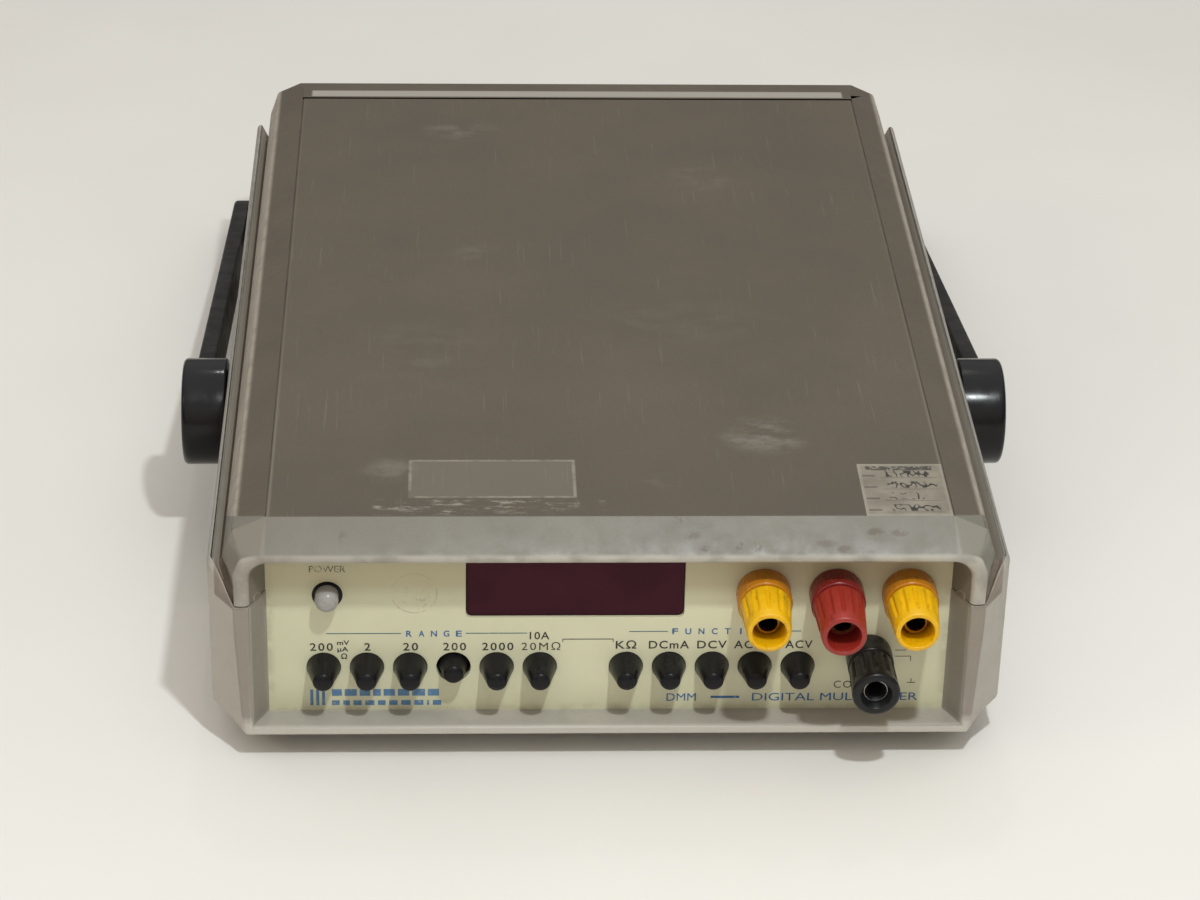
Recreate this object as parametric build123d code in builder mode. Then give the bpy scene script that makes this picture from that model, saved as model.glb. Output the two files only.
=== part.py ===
from build123d import *
import os
from math import atan2, cos, degrees, radians, sin, tan

os.makedirs("parts", exist_ok=True)

# Bench multimeter in a low clamshell case with a swinging carrying handle.
# Millimetres. +X to the right of the front panel, +Y to the rear, +Z up, z = 0 under the feet.
# Every depth is a distance behind the front edge of the lower lip.

# ---- driving dimensions ----
lip_y = -155.2          # model y of the front edge of the lower lip
case_h = 68.6           # top face above the table
case_end = 292.0        # depth of the lower case
roof_end = 293.4        # depth of the upper case
floor_z = 5.0           # underside of the lower case
floor_half = 97.5
wall_half = 104.2       # outer faces of the side fins
corner_z = 12.5         # top of the lower edge chamfer
fin_z = 56.3            # tip of the side fins
seam_z = 47.0           # where the two case halves meet
seam_half = 97.1
rail_half = 93.7        # inner edge of the seam ledge
frame_depth = 10.5      # depth of the tapered front frame
wall = 2.6              # case wall

roof_half = 88.8        # top face, out to the shoulder line
shoulder_half = 97.5
shoulder_z = 64.6
skirt_half = 100.2      # widest point of the upper case
skirt_z = 56.8
visor_depth = 9.2

panel_depth = 9.0       # front face of the front panel
panel_t = 2.0
panel_half = 91.0
mouth_half = 93.4       # front opening at the lip
throat_half = 89.1      # front opening at the panel
mouth_top = 60.1

button_pitch = 11.33
button_x0 = -74.6
button_z = 23.2
button_r = 4.15
button_tip_r = 2.9
button_reach = 7.8
button_travel = 3.7
range_slots = range(0, 6)
function_slots = range(7, 12)
latched_slot = 3        # the range button that is pushed in

power_x, power_z = -73.4, 45.3
power_r = 3.1
power_reach = 5.2

window_x, window_z = -8.9, 47.9
window_w, window_h = 57.0, 19.2

post_pitch = 19.05      # double banana plug spacing
post_z = 46.0
post_x = 59.1
stud_r = 3.2
socket_r = 2.0
socket_len = 14.0

hub_depth, hub_z = 122.9, 38.2
hub_r = 15.25
hub_face = 117.8
bar_depth, bar_z = 318.6, 6.6
arm_t = 5.1


def behind(depth):
    """Model y of a point this far behind the lip."""
    return lip_y + depth


def cross_section(depth):
    """Plane across the case, looked at from the front, x right and z up."""
    return Plane.XZ.offset(-behind(depth))


def side_section(x):
    """Plane along the case at this x, with y to the rear and z up."""
    return Plane.YZ.offset(x)


def mirrored_face(right_half):
    """Closed face from the right-hand half of a section and its mirror image."""
    Polygon(*right_half, *[(-x, z) for x, z in reversed(right_half)], align=None)


def button_x(slot):
    return button_x0 + button_pitch * slot


# ---- lower case: tray with side fins and the tapered frame round the panel ----
lower_outer = [
    (floor_half, floor_z), (wall_half - 0.2, corner_z), (wall_half, fin_z - 1.1),
    (wall_half - 0.8, fin_z), (wall_half - 1.5, fin_z - 0.2), (seam_half + 1.3, seam_z),
    (rail_half, seam_z),
]
lower_nose = [
    (94.6, 8.0), (95.1, 8.5), (seam_half, seam_z - 0.6), (seam_half - 0.1, seam_z - 0.2),
    (seam_half - 0.3, seam_z), (seam_half - 1.1, seam_z), (rail_half, seam_z),
]
lower_inner = [
    (floor_half - 1.2, floor_z + wall), (wall_half - wall, corner_z + 1.1),
    (wall_half - wall, seam_z - 3.4), (rail_half, seam_z - 3.4), (rail_half, seam_z + 1.0),
]
foot_spots = [(sx * 80.0, behind(d)) for sx in (-1, 1) for d in (24.0, 268.0)]
screw_spots = [(sx * 88.6, behind(d)) for sx in (-1, 1) for d in (40.0, 262.0)]
boss_spots = [(sx * 72.0, behind(d)) for sx in (-1, 1) for d in (74.0, 228.0)]

with BuildPart() as lower_case:
    with BuildSketch(cross_section(0)):
        mirrored_face(lower_nose)
    with BuildSketch(cross_section(frame_depth)):
        mirrored_face(lower_outer)
    loft(ruled=True)
    with BuildSketch(cross_section(frame_depth)):
        mirrored_face(lower_outer)
    extrude(amount=-(case_end - frame_depth))
    # fins stop short of the rear edge
    for side in (-1, 1):
        with Locations((side * (wall_half + 0.5), behind(case_end - 2.7), fin_z)):
            Box(11.4, 5.6, 2 * (fin_z - seam_z), mode=Mode.SUBTRACT)
    # gutter in front of each fin, running out at the lip
    for side in (-1, 1):
        with BuildSketch(cross_section(-0.01)):
            Polygon((side * 92.0, seam_z), (side * (seam_half - 0.3), seam_z),
                    (side * (seam_half + 0.2), seam_z + 0.6), (side * (seam_half + 0.2), case_h),
                    (side * 92.0, case_h), align=None)
        with BuildSketch(cross_section(frame_depth)):
            Polygon((side * 92.0, seam_z), (side * (seam_half + 1.3), seam_z),
                    (side * (wall_half - 1.5), fin_z - 0.2), (side * (wall_half - 1.5), case_h),
                    (side * 92.0, case_h), align=None)
        loft(ruled=True, mode=Mode.SUBTRACT)
    # hollow behind the frame
    with BuildSketch(cross_section(panel_depth + panel_t + 0.1)):
        mirrored_face(lower_inner)
    extrude(amount=-(case_end - panel_depth), mode=Mode.SUBTRACT)
    # funnel from the lip back to the panel
    with BuildSketch(cross_section(0)):
        mirrored_face([(mouth_half, 10.2), (mouth_half, case_h)])
    with BuildSketch(cross_section(panel_depth)):
        mirrored_face([(throat_half, 9.9), (throat_half, case_h)])
    loft(ruled=True, mode=Mode.SUBTRACT)
    # slot for the edge of the panel
    with Locations((0, behind(panel_depth + 1.2), 38.2)):
        Box(2 * panel_half + 0.4, 2.4, 60.0, mode=Mode.SUBTRACT)
    # bosses under the circuit board and posts for the case screws
    with Locations([(x, y, floor_z + wall - 0.1) for x, y in boss_spots]):
        Cylinder(3.6, 8.1, align=(Align.CENTER, Align.CENTER, Align.MIN))
    with Locations([(x, y, floor_z + wall - 0.1) for x, y in screw_spots]):
        Cylinder(4.2, 20.0, align=(Align.CENTER, Align.CENTER, Align.MIN))
    with Locations([(x, y, 12.0) for x, y in boss_spots]):
        Cylinder(1.3, 9.0, mode=Mode.SUBTRACT)
    with Locations([(x, y, 15.0) for x, y in screw_spots]):
        Cylinder(1.9, 30.0, mode=Mode.SUBTRACT)
    with Locations([(x, y, floor_z) for x, y in screw_spots]):
        Cylinder(4.0, 5.0, align=(Align.CENTER, Align.CENTER, Align.CENTER), mode=Mode.SUBTRACT)
    # clearance holes for the handle pivots
    with Locations(Location((0, behind(hub_depth), hub_z), (0, 90, 0))):
        Cylinder(4.1, 2 * wall_half + 20, mode=Mode.SUBTRACT)
    # cooling slots in the floor
    with Locations((0, behind(200.0), floor_z)):
        with GridLocations(0, 9.0, 1, 6):
            Box(60.0, 3.0, 12.0, mode=Mode.SUBTRACT)
lower_case.part.label = "lower_case"
export_step(lower_case.part, "parts/lower_case.step")

# ---- upper case: roof with sloped shoulders and a short skirt ----
roof_outer = [
    (seam_half - 0.1, seam_z + 0.4), (skirt_half, skirt_z), (shoulder_half, shoulder_z),
    (roof_half, case_h),
]
roof_inner = [
    (seam_half - wall, seam_z - 1.0), (seam_half - wall, seam_z + 0.4),
    (skirt_half - wall, skirt_z), (shoulder_half - 2.3, shoulder_z - 1.5),
    (roof_half - 0.8, case_h - wall - 0.1),
]
visor_back = roof_outer
visor_nose = [
    (seam_half - 0.2, seam_z + 0.4), (seam_half - 0.4, 56.4), (95.0, 60.6), (90.0, 61.9),
]

with BuildPart() as upper_case:
    with BuildSketch(cross_section(visor_depth + 0.2)):
        mirrored_face(roof_outer)
    extrude(amount=-(roof_end - visor_depth - 0.2))
    with BuildSketch(cross_section(visor_depth)):
        mirrored_face(roof_inner)
    extrude(amount=-case_end - 5, mode=Mode.SUBTRACT)
    # recess for the top panel
    with Locations((0, behind((visor_depth + 280.2) / 2), case_h)):
        Box(2 * roof_half + 0.2, 280.2 - visor_depth, 2.6, mode=Mode.SUBTRACT)
    # the rear border falls away slightly
    with BuildSketch(side_section(0)):
        with BuildLine():
            Polyline((behind(285.3), case_h), (behind(roof_end + 1), case_h - 0.7),
                     (behind(roof_end + 1), case_h + 1), close=True)
        make_face()
    extrude(amount=wall_half, both=True, mode=Mode.SUBTRACT)
    # posts that the case screws bite into
    with Locations([(x, y, 28.0) for x, y in screw_spots]):
        Cylinder(4.2, case_h - 1.9 - 28.0, align=(Align.CENTER, Align.CENTER, Align.MIN))
    with Locations([(x, y, 28.0) for x, y in screw_spots]):
        Cylinder(1.7, 24.0, mode=Mode.SUBTRACT)
upper_case.part.label = "upper_case"
export_step(upper_case.part, "parts/upper_case.step")

# ---- top panel: flat sheet set into the roof ----
with BuildPart() as top_panel:
    with Locations((0, behind((visor_depth + 0.5 + 279.2) / 2), case_h - 1.2)):
        Box(2 * roof_half - 0.4, 279.2 - visor_depth - 0.5, 1.2,
            align=(Align.CENTER, Align.CENTER, Align.MIN))
    chamfer(top_panel.faces().sort_by(Axis.Z)[-1].edges(), 0.25)
top_panel.part.label = "top_panel"
export_step(top_panel.part, "parts/top_panel.step")

# ---- front visor: sloped band over the panel with a tip down each side ----
with BuildPart() as front_visor:
    with BuildSketch(cross_section(0)):
        mirrored_face(visor_nose)
    with BuildSketch(cross_section(visor_depth)):
        mirrored_face(visor_back)
    loft(ruled=True)
    with BuildSketch(cross_section(-0.2)):
        with BuildLine():
            FilletPolyline((mouth_half, 30), (mouth_half, mouth_top), (-mouth_half, mouth_top),
                           (-mouth_half, 30), radius=5.5)
            Line((-mouth_half, 30), (mouth_half, 30))
        make_face()
    with BuildSketch(cross_section(visor_depth + 0.2)):
        with BuildLine():
            FilletPolyline((throat_half, 30), (throat_half, 62.0), (-throat_half, 62.0),
                           (-throat_half, 30), radius=5.5)
            Line((-throat_half, 30), (throat_half, 30))
        make_face()
    loft(ruled=True, mode=Mode.SUBTRACT)
    with Locations((0, behind(panel_depth + 1.0), 40.0)):
        Box(2 * panel_half + 0.4, 2.0, 45.4, mode=Mode.SUBTRACT)
front_visor.part.label = "front_visor"
export_step(front_visor.part, "parts/front_visor.step")

# ---- front panel ----
post_spots = [
    (post_x - post_pitch, post_z), (post_x, post_z), (post_x + post_pitch, post_z),
    (post_x + post_pitch / 2, post_z - post_pitch),
]

with BuildPart() as front_panel:
    with BuildSketch(cross_section(panel_depth)):
        with Locations((0, 35.4)):
            Rectangle(2 * panel_half, 54.0)
        with Locations([(button_x(i), button_z) for i in (*range_slots, *function_slots)]):
            Circle(button_r + 0.35, mode=Mode.SUBTRACT)
        with Locations((power_x, power_z)):
            Circle(3.9, mode=Mode.SUBTRACT)
        with Locations((window_x, window_z)):
            RectangleRounded(window_w, window_h, 1.6, mode=Mode.SUBTRACT)
        with Locations(post_spots):
            Circle(2.7, mode=Mode.SUBTRACT)
    extrude(amount=-panel_t)
front_panel.part.label = "front_panel"
export_step(front_panel.part, "parts/front_panel.step")

# ---- display: tinted window, digits and their board ----
with BuildPart() as display_window:
    with BuildSketch(cross_section(panel_depth + 0.9)):
        with Locations((window_x, window_z)):
            RectangleRounded(window_w - 0.3, window_h - 0.3, 1.5)
    extrude(amount=-1.3)
    with BuildSketch(cross_section(panel_depth + panel_t + 0.1)):
        with Locations((window_x, window_z)):
            RectangleRounded(window_w + 5.0, window_h + 4.0, 2.0)
    extrude(amount=-1.2)
display_window.part.label = "display_window"
export_step(display_window.part, "parts/display_window.step")

with BuildPart() as led_digits:
    with Locations((window_x, behind(15.2), window_z)):
        with GridLocations(13.2, 0, 4, 1):
            Box(12.6, 4.0, 17.8)
led_digits.part.label = "led_digits"
export_step(led_digits.part, "parts/led_digits.step")

with BuildPart() as display_board:
    with Locations((window_x, behind(18.0), 47.0)):
        Box(76.0, 1.6, 27.0)
display_board.part.label = "display_board"
export_step(display_board.part, "parts/display_board.step")

# ---- main board with its chips, capacitors and transformer ----
board_z = floor_z + wall + 8.0
with BuildPart() as main_board:
    with Locations((0, behind(147.0), board_z)):
        Box(176.0, 248.0, 1.6, align=(Align.CENTER, Align.CENTER, Align.MIN))
    with Locations([(x, y, board_z) for x, y in boss_spots]):
        Cylinder(1.7, 10.0, mode=Mode.SUBTRACT)
    with Locations([(x, y, board_z) for x, y in screw_spots]):
        Cylinder(4.7, 10.0, mode=Mode.SUBTRACT)
main_board.part.label = "main_board"
export_step(main_board.part, "parts/main_board.step")

board_top = board_z + 1.6
with BuildPart() as board_screws:
    with Locations([(x, y, board_top) for x, y in boss_spots]):
        Cylinder(2.9, 2.0, align=(Align.CENTER, Align.CENTER, Align.MIN))
        Cylinder(1.25, 6.0, align=(Align.CENTER, Align.CENTER, Align.MAX))
board_screws.part.label = "board_screws"
export_step(board_screws.part, "parts/board_screws.step")

with BuildPart() as chips:
    with Locations((-20, behind(120.0), board_top)):
        Box(15.0, 52.0, 4.4, align=(Align.CENTER, Align.CENTER, Align.MIN))
    with Locations((30, behind(110.0), board_top)):
        with GridLocations(22.0, 30.0, 2, 2):
            Box(7.5, 19.5, 4.0, align=(Align.CENTER, Align.CENTER, Align.MIN))
chips.part.label = "chips"
export_step(chips.part, "parts/chips.step")

with BuildPart() as capacitors:
    with Locations((-30, behind(205.0), board_top)):
        with GridLocations(22.0, 0, 2, 1):
            Cylinder(8.0, 30.0, align=(Align.CENTER, Align.CENTER, Align.MIN))
    with Locations((12, behind(196.0), board_top)):
        Cylinder(5.0, 14.0, align=(Align.CENTER, Align.CENTER, Align.MIN))
capacitors.part.label = "capacitors"
export_step(capacitors.part, "parts/capacitors.step")

with BuildPart() as transformer_core:
    with Locations((-52, behind(252.0), board_top)):
        Box(54.0, 18.0, 42.0, align=(Align.CENTER, Align.CENTER, Align.MIN))
        with Locations((-13.5, 0, 7.5), (13.5, 0, 7.5)):
            Box(13.0, 18.2, 27.0, align=(Align.CENTER, Align.CENTER, Align.MIN),
                mode=Mode.SUBTRACT)
transformer_core.part.label = "transformer_core"
export_step(transformer_core.part, "parts/transformer_core.step")

with BuildPart() as transformer_coil:
    with Locations((-52, behind(252.0), board_top + 8.0)):
        Box(38.6, 34.0, 26.0, align=(Align.CENTER, Align.CENTER, Align.MIN))
        Box(14.4, 34.2, 26.2, align=(Align.CENTER, Align.CENTER, Align.MIN),
            mode=Mode.SUBTRACT)
        with Locations((0, 13.2, 0), (0, -13.2, 0)):
            Box(14.6, 7.6, 26.0, align=(Align.CENTER, Align.CENTER, Align.MIN))
transformer_coil.part.label = "transformer_coil"
export_step(transformer_coil.part, "parts/transformer_coil.step")

# ---- push switch banks on the board, the plungers slide in their bores ----
for name, slots in (("range_switches", range_slots), ("function_switches", function_slots)):
    middle = (button_x(slots[0]) + button_x(slots[-1])) / 2
    width = button_x(slots[-1]) - button_x(slots[0]) + 10.6
    with BuildPart() as switch_bank:
        with Locations((middle, behind(44.0), board_top)):
            Box(width, 34.0, 12.0, align=(Align.CENTER, Align.CENTER, Align.MIN))
        with BuildSketch(cross_section(26.0)):
            with Locations([(button_x(i), button_z) for i in slots]):
                Circle(2.3)
        extrude(amount=-26.0, mode=Mode.SUBTRACT)
    switch_bank.part.label = name
    export_step(switch_bank.part, f"parts/{name}.step")

with BuildPart() as power_switch:
    with Locations((power_x, behind(36.0), power_z)):
        Box(13.0, 36.0, 13.0)
    with Locations((power_x, behind(panel_depth + panel_t + 0.9), power_z)):
        Box(26.0, 1.6, 11.0)
    with Locations((power_x, behind(15.4), power_z)):
        Box(9.6, 7.0, 9.6)
    with BuildSketch(cross_section(10.0)):
        with Locations((power_x, power_z)):
            Circle(power_r + 0.35)
    extrude(amount=-34.0, mode=Mode.SUBTRACT)
power_switch.part.label = "power_switch"
export_step(power_switch.part, "parts/power_switch.step")


# ---- push buttons: tapered caps on round plungers ----
for slot in (*range_slots, *function_slots):
    name = f"range_button_{slot + 1}" if slot in range_slots else f"function_button_{slot - 6}"
    back = panel_depth + (button_travel if slot == latched_slot else 0.0)
    with BuildPart() as button:
        with BuildSketch(cross_section(back)):
            with Locations((button_x(slot), button_z)):
                Circle(button_r)
        with BuildSketch(cross_section(back - button_reach)):
            with Locations((button_x(slot), button_z)):
                Circle(button_tip_r)
        loft()
        fillet(button.faces().sort_by(Axis.Y)[0].edges(), 0.8)
        with BuildSketch(cross_section(back)):
            with Locations((button_x(slot), button_z)):
                Circle(button_r)
        extrude(amount=-6.5)
        with BuildSketch(cross_section(back + 6.5)):
            with Locations((button_x(slot), button_z)):
                Circle(2.0)
        extrude(amount=-20.0)
    button.part.label = name
    export_step(button.part, f"parts/{name}.step")

with BuildPart() as power_button:
    with BuildSketch(cross_section(panel_depth - power_reach)):
        with Locations((power_x, power_z)):
            Circle(power_r)
    extrude(amount=-34.0)
    fillet(power_button.faces().sort_by(Axis.Y)[0].edges(), 2.4)
power_button.part.label = "power_button"
export_step(power_button.part, "parts/power_button.step")

# ---- binding posts ----
# name, spot, collar radius, cap radius at the collar and at the front, whole reach, stud reach
posts = [
    ("left", post_spots[0], 7.15, 6.5, 5.4, 20.6, 15.5),
    ("red", post_spots[1], 7.15, 6.5, 5.5, 22.6, 15.5),
    ("right", post_spots[2], 7.15, 6.5, 5.4, 20.6, 15.5),
    ("common", post_spots[3], 6.1, 5.9, 5.7, 18.7, 18.2),
]
collar_len = 7.3


for name, spot, r_collar, r_back, r_front, reach, stud_reach in posts:
    with BuildPart() as collar:
        with BuildSketch(cross_section(panel_depth)):
            with Locations(spot):
                Circle(r_collar)
        extrude(amount=collar_len)
        fillet(collar.faces().sort_by(Axis.Y)[0].edges(), 0.5)
        with BuildSketch(cross_section(panel_depth)):
            with Locations(spot):
                Circle(stud_r + 0.05)
        extrude(amount=collar_len, mode=Mode.SUBTRACT)
    collar.part.label = f"post_collar_{name}"
    export_step(collar.part, f"parts/post_collar_{name}.step")

    # fluted cap, threaded on the stud, with an open front for a plug
    mouth_r = 4.05 if name != "common" else stud_r + 0.06
    with BuildPart() as cap:
        with BuildSketch(cross_section(panel_depth - collar_len - 0.3)):
            with Locations(spot):
                Circle(r_back)
        with BuildSketch(cross_section(panel_depth - reach)):
            with Locations(spot):
                Circle(r_front)
        loft()
        fillet(cap.faces().sort_by(Axis.Y)[0].edges(), 0.4)
        with BuildSketch(cross_section(panel_depth - collar_len - 0.3)):
            with Locations(spot):
                with PolarLocations(r_back + 0.55, 12):
                    Circle(1.0)
        extrude(amount=reach - collar_len - 3.3, mode=Mode.SUBTRACT)
        with BuildSketch(cross_section(panel_depth)):
            with Locations(spot):
                Circle(stud_r + 0.06)
        extrude(amount=40.0, mode=Mode.SUBTRACT)
        with BuildSketch(cross_section(panel_depth - 12.0)):
            with Locations(spot):
                Circle(mouth_r)
        extrude(amount=20.0, mode=Mode.SUBTRACT)
    cap.part.label = f"post_cap_{name}"
    export_step(cap.part, f"parts/post_cap_{name}.step")

with BuildPart() as post_studs:
    for name, spot, r_collar, r_back, r_front, reach, stud_reach in posts:
        with BuildSketch(cross_section(panel_depth - stud_reach)):
            with Locations(spot):
                Circle(stud_r)
        extrude(amount=-(stud_reach - 0.1))
        with BuildSketch(cross_section(panel_depth - 0.1)):
            with Locations(spot):
                Circle(2.5)
        extrude(amount=-16.0)
        with BuildSketch(cross_section(panel_depth - stud_reach)):
            with Locations(spot):
                Circle(socket_r)
        extrude(amount=-socket_len, mode=Mode.SUBTRACT)
post_studs.part.label = "post_studs"
export_step(post_studs.part, "parts/post_studs.step")

with BuildPart() as post_nuts:
    with BuildSketch(cross_section(panel_depth + panel_t + 0.05)):
        with Locations(post_spots):
            RegularPolygon(4.6, 6)
            Circle(2.55, mode=Mode.SUBTRACT)
    extrude(amount=-4.0)
post_nuts.part.label = "post_nuts"
export_step(post_nuts.part, "parts/post_nuts.step")

# ---- handle: one moulding of two arms and a grip bar, on a pivot at each side ----
arm_slope = atan2(bar_z - hub_z, bar_depth - hub_depth)
hub_in = 105.3          # inner face of the handle's hubs
cap_in = 115.6          # inner face of the hub caps
arm_out_hub = 116.4     # outer face of an arm at the hub and at the bar
arm_out_bar = 114.9


def arm_plane(depth):
    """Plane square to an arm, at the point of its axis this far behind the lip."""
    z = hub_z + (depth - hub_depth) * tan(arm_slope)
    along = (0, cos(arm_slope), sin(arm_slope))
    return Plane(origin=(0, behind(depth), z), x_dir=(1, 0, 0), z_dir=along)


with BuildPart() as handle:
    for side in (-1, 1):
        with BuildSketch(arm_plane(hub_depth + 9.0)):
            with Locations((side * (cap_in - 0.1 - arm_t / 2), 0)):
                Rectangle(arm_t, 15.6)
        with BuildSketch(arm_plane(bar_depth)):
            with Locations((side * (arm_out_bar - arm_t / 2), 0)):
                Rectangle(arm_t, 12.0)
        loft()
        with Locations(Location((side * (hub_in + cap_in) / 2, behind(hub_depth), hub_z),
                                (0, 90, 0))):
            Cylinder(hub_r, cap_in - hub_in)
    with BuildSketch(Plane.YZ.offset(-arm_out_bar)):
        with Locations((behind(bar_depth + 0.0), bar_z)):
            RectangleRounded(9.6, 12.2, 2.2, rotation=degrees(arm_slope))
    extrude(amount=2 * arm_out_bar)
    for side in (-1, 1):
        with Locations(Location((side * 110.4, behind(hub_depth), hub_z), (0, 90, 0))):
            Cylinder(5.06, 12.0, mode=Mode.SUBTRACT)
        with Locations(Location((side * 113.9, behind(hub_depth), hub_z), (0, 90, 0))):
            Cylinder(9.5, 4.0, mode=Mode.SUBTRACT)
handle.part.label = "handle"
export_step(handle.part, "parts/handle.step")

for side, name in ((-1, "left"), (1, "right")):
    with BuildPart() as hub_cap:
        with Locations(Location((side * (cap_in + hub_face) / 2, behind(hub_depth), hub_z),
                                (0, 90, 0))):
            Cylinder(hub_r, hub_face - cap_in)
        outer = hub_cap.faces().filter_by(Axis.X).sort_by(Axis.X)[-1 if side > 0 else 0]
        fillet(outer.edges(), 0.8)
    hub_cap.part.label = f"hub_cap_{name}"
    export_step(hub_cap.part, f"parts/hub_cap_{name}.step")

    with BuildPart() as pivot:
        with Locations(Location((side * 108.3, behind(hub_depth), hub_z), (0, 90, 0))):
            Cylinder(5.0, 7.3)
        with Locations(Location((side * 104.65, behind(hub_depth), hub_z), (0, 90, 0))):
            Cylinder(12.0, 0.7)
        with Locations(Location((side * 102.6, behind(hub_depth), hub_z), (0, 90, 0))):
            Cylinder(3.9, 5.0)
        with Locations(Location((side * 106.0, behind(hub_depth), hub_z), (0, 90, 0))):
            Cylinder(2.05, 16.0, mode=Mode.SUBTRACT)
    pivot.part.label = f"pivot_{name}"
    export_step(pivot.part, f"parts/pivot_{name}.step")

with BuildPart() as pivot_washers:
    for side in (-1, 1):
        with Locations(Location((side * 112.5, behind(hub_depth), hub_z), (0, 90, 0))):
            Cylinder(8.8, 0.8)
            Cylinder(2.05, 2.0, mode=Mode.SUBTRACT)
pivot_washers.part.label = "pivot_washers"
export_step(pivot_washers.part, "parts/pivot_washers.step")

with BuildPart() as pivot_screws:
    for side in (-1, 1):
        with Locations(Location((side * 113.9, behind(hub_depth), hub_z), (0, 90, 0))):
            Cylinder(4.6, 1.9)
        with Locations(Location((side * 106.5, behind(hub_depth), hub_z), (0, 90, 0))):
            Cylinder(2.0, 14.0)
pivot_screws.part.label = "pivot_screws"
export_step(pivot_screws.part, "parts/pivot_screws.step")

# ---- feet and case screws ----
with BuildPart() as rubber_feet:
    with Locations([(x, y, 0) for x, y in foot_spots]):
        Cone(6.4, 7.4, floor_z, align=(Align.CENTER, Align.CENTER, Align.MIN))
rubber_feet.part.label = "rubber_feet"
export_step(rubber_feet.part, "parts/rubber_feet.step")

with BuildPart() as case_screws:
    with Locations([(x, y, floor_z + 0.3) for x, y in screw_spots]):
        Cylinder(3.4, 2.2, align=(Align.CENTER, Align.CENTER, Align.MIN))
        Cylinder(1.65, 32.0, align=(Align.CENTER, Align.CENTER, Align.MIN))
case_screws.part.label = "case_screws"
export_step(case_screws.part, "parts/case_screws.step")

# ---- rear panel with the mains inlet and the fuse holder ----
rear_depth = 284.0
inlet_x, inlet_z = 52.0, 31.0
fuse_x, fuse_z = 12.0, 31.0
with BuildPart() as rear_panel:
    with BuildSketch(cross_section(rear_depth)):
        mirrored_face([(93.3, floor_z + wall + 0.3), (93.3, 62.8), (87.4, 65.2)])
        with Locations((inlet_x, inlet_z)):
            RectangleRounded(27.6, 20.2, 3.0, mode=Mode.SUBTRACT)
        with Locations((fuse_x, fuse_z)):
            Circle(6.4, mode=Mode.SUBTRACT)
    extrude(amount=-2.0)
rear_panel.part.label = "rear_panel"
export_step(rear_panel.part, "parts/rear_panel.step")

with BuildPart() as mains_inlet:
    with BuildSketch(cross_section(rear_depth + 2.0)):
        with Locations((inlet_x, inlet_z)):
            RectangleRounded(44.0, 24.0, 4.0)
    extrude(amount=-2.6)
    with BuildSketch(cross_section(rear_depth + 2.1)):
        with Locations((inlet_x, inlet_z)):
            RectangleRounded(27.2, 19.8, 3.0)
    extrude(amount=18.0)
    with BuildSketch(cross_section(rear_depth + 4.7)):
        with Locations((inlet_x, inlet_z)):
            RectangleRounded(24.2, 16.6, 2.0)
    extrude(amount=17.0, mode=Mode.SUBTRACT)
mains_inlet.part.label = "mains_inlet"
export_step(mains_inlet.part, "parts/mains_inlet.step")

pin_spots = [(inlet_x - 7.0, inlet_z - 2.0), (inlet_x, inlet_z + 2.0), (inlet_x + 7.0, inlet_z - 2.0)]
with BuildPart() as inlet_pins:
    with BuildSketch(cross_section(rear_depth - 12.3)):
        with Locations(pin_spots):
            Rectangle(2.0, 4.0)
    extrude(amount=-11.0)
inlet_pins.part.label = "inlet_pins"
export_step(inlet_pins.part, "parts/inlet_pins.step")

with BuildPart() as fuse_holder:
    with BuildSketch(cross_section(rear_depth + 2.0)):
        with Locations((fuse_x, fuse_z)):
            Circle(8.2)
    extrude(amount=-1.6)
    with BuildSketch(cross_section(rear_depth + 2.1)):
        with Locations((fuse_x, fuse_z)):
            Circle(6.2)
    extrude(amount=34.0)
    with BuildSketch(cross_section(rear_depth + 4.0)):
        with Locations((fuse_x, fuse_z)):
            Circle(4.3)
    extrude(amount=32.0, mode=Mode.SUBTRACT)
fuse_holder.part.label = "fuse_holder"
export_step(fuse_holder.part, "parts/fuse_holder.step")

with BuildPart() as fuse_cap:
    with BuildSketch(cross_section(rear_depth + 3.9)):
        with Locations((fuse_x, fuse_z)):
            Circle(6.6)
    extrude(amount=-4.4)
    with BuildSketch(cross_section(rear_depth + 4.0)):
        with Locations((fuse_x, fuse_z)):
            Circle(4.24)
    extrude(amount=8.0)
    with Locations((fuse_x, behind(rear_depth + 8.0), fuse_z)):
        Box(8.0, 1.4, 1.2, mode=Mode.SUBTRACT)
fuse_cap.part.label = "fuse_cap"
export_step(fuse_cap.part, "parts/fuse_cap.step")

with BuildPart() as fuse:
    with Locations(Location((fuse_x, behind(rear_depth - 14.6), fuse_z), (90, 0, 0))):
        Cylinder(2.5, 20.0)
fuse.part.label = "fuse"
export_step(fuse.part, "parts/fuse.step")
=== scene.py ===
import math
import random
from math import cos, pi, radians, sin

import bmesh
import bpy
from mathutils import Matrix, Vector


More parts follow.
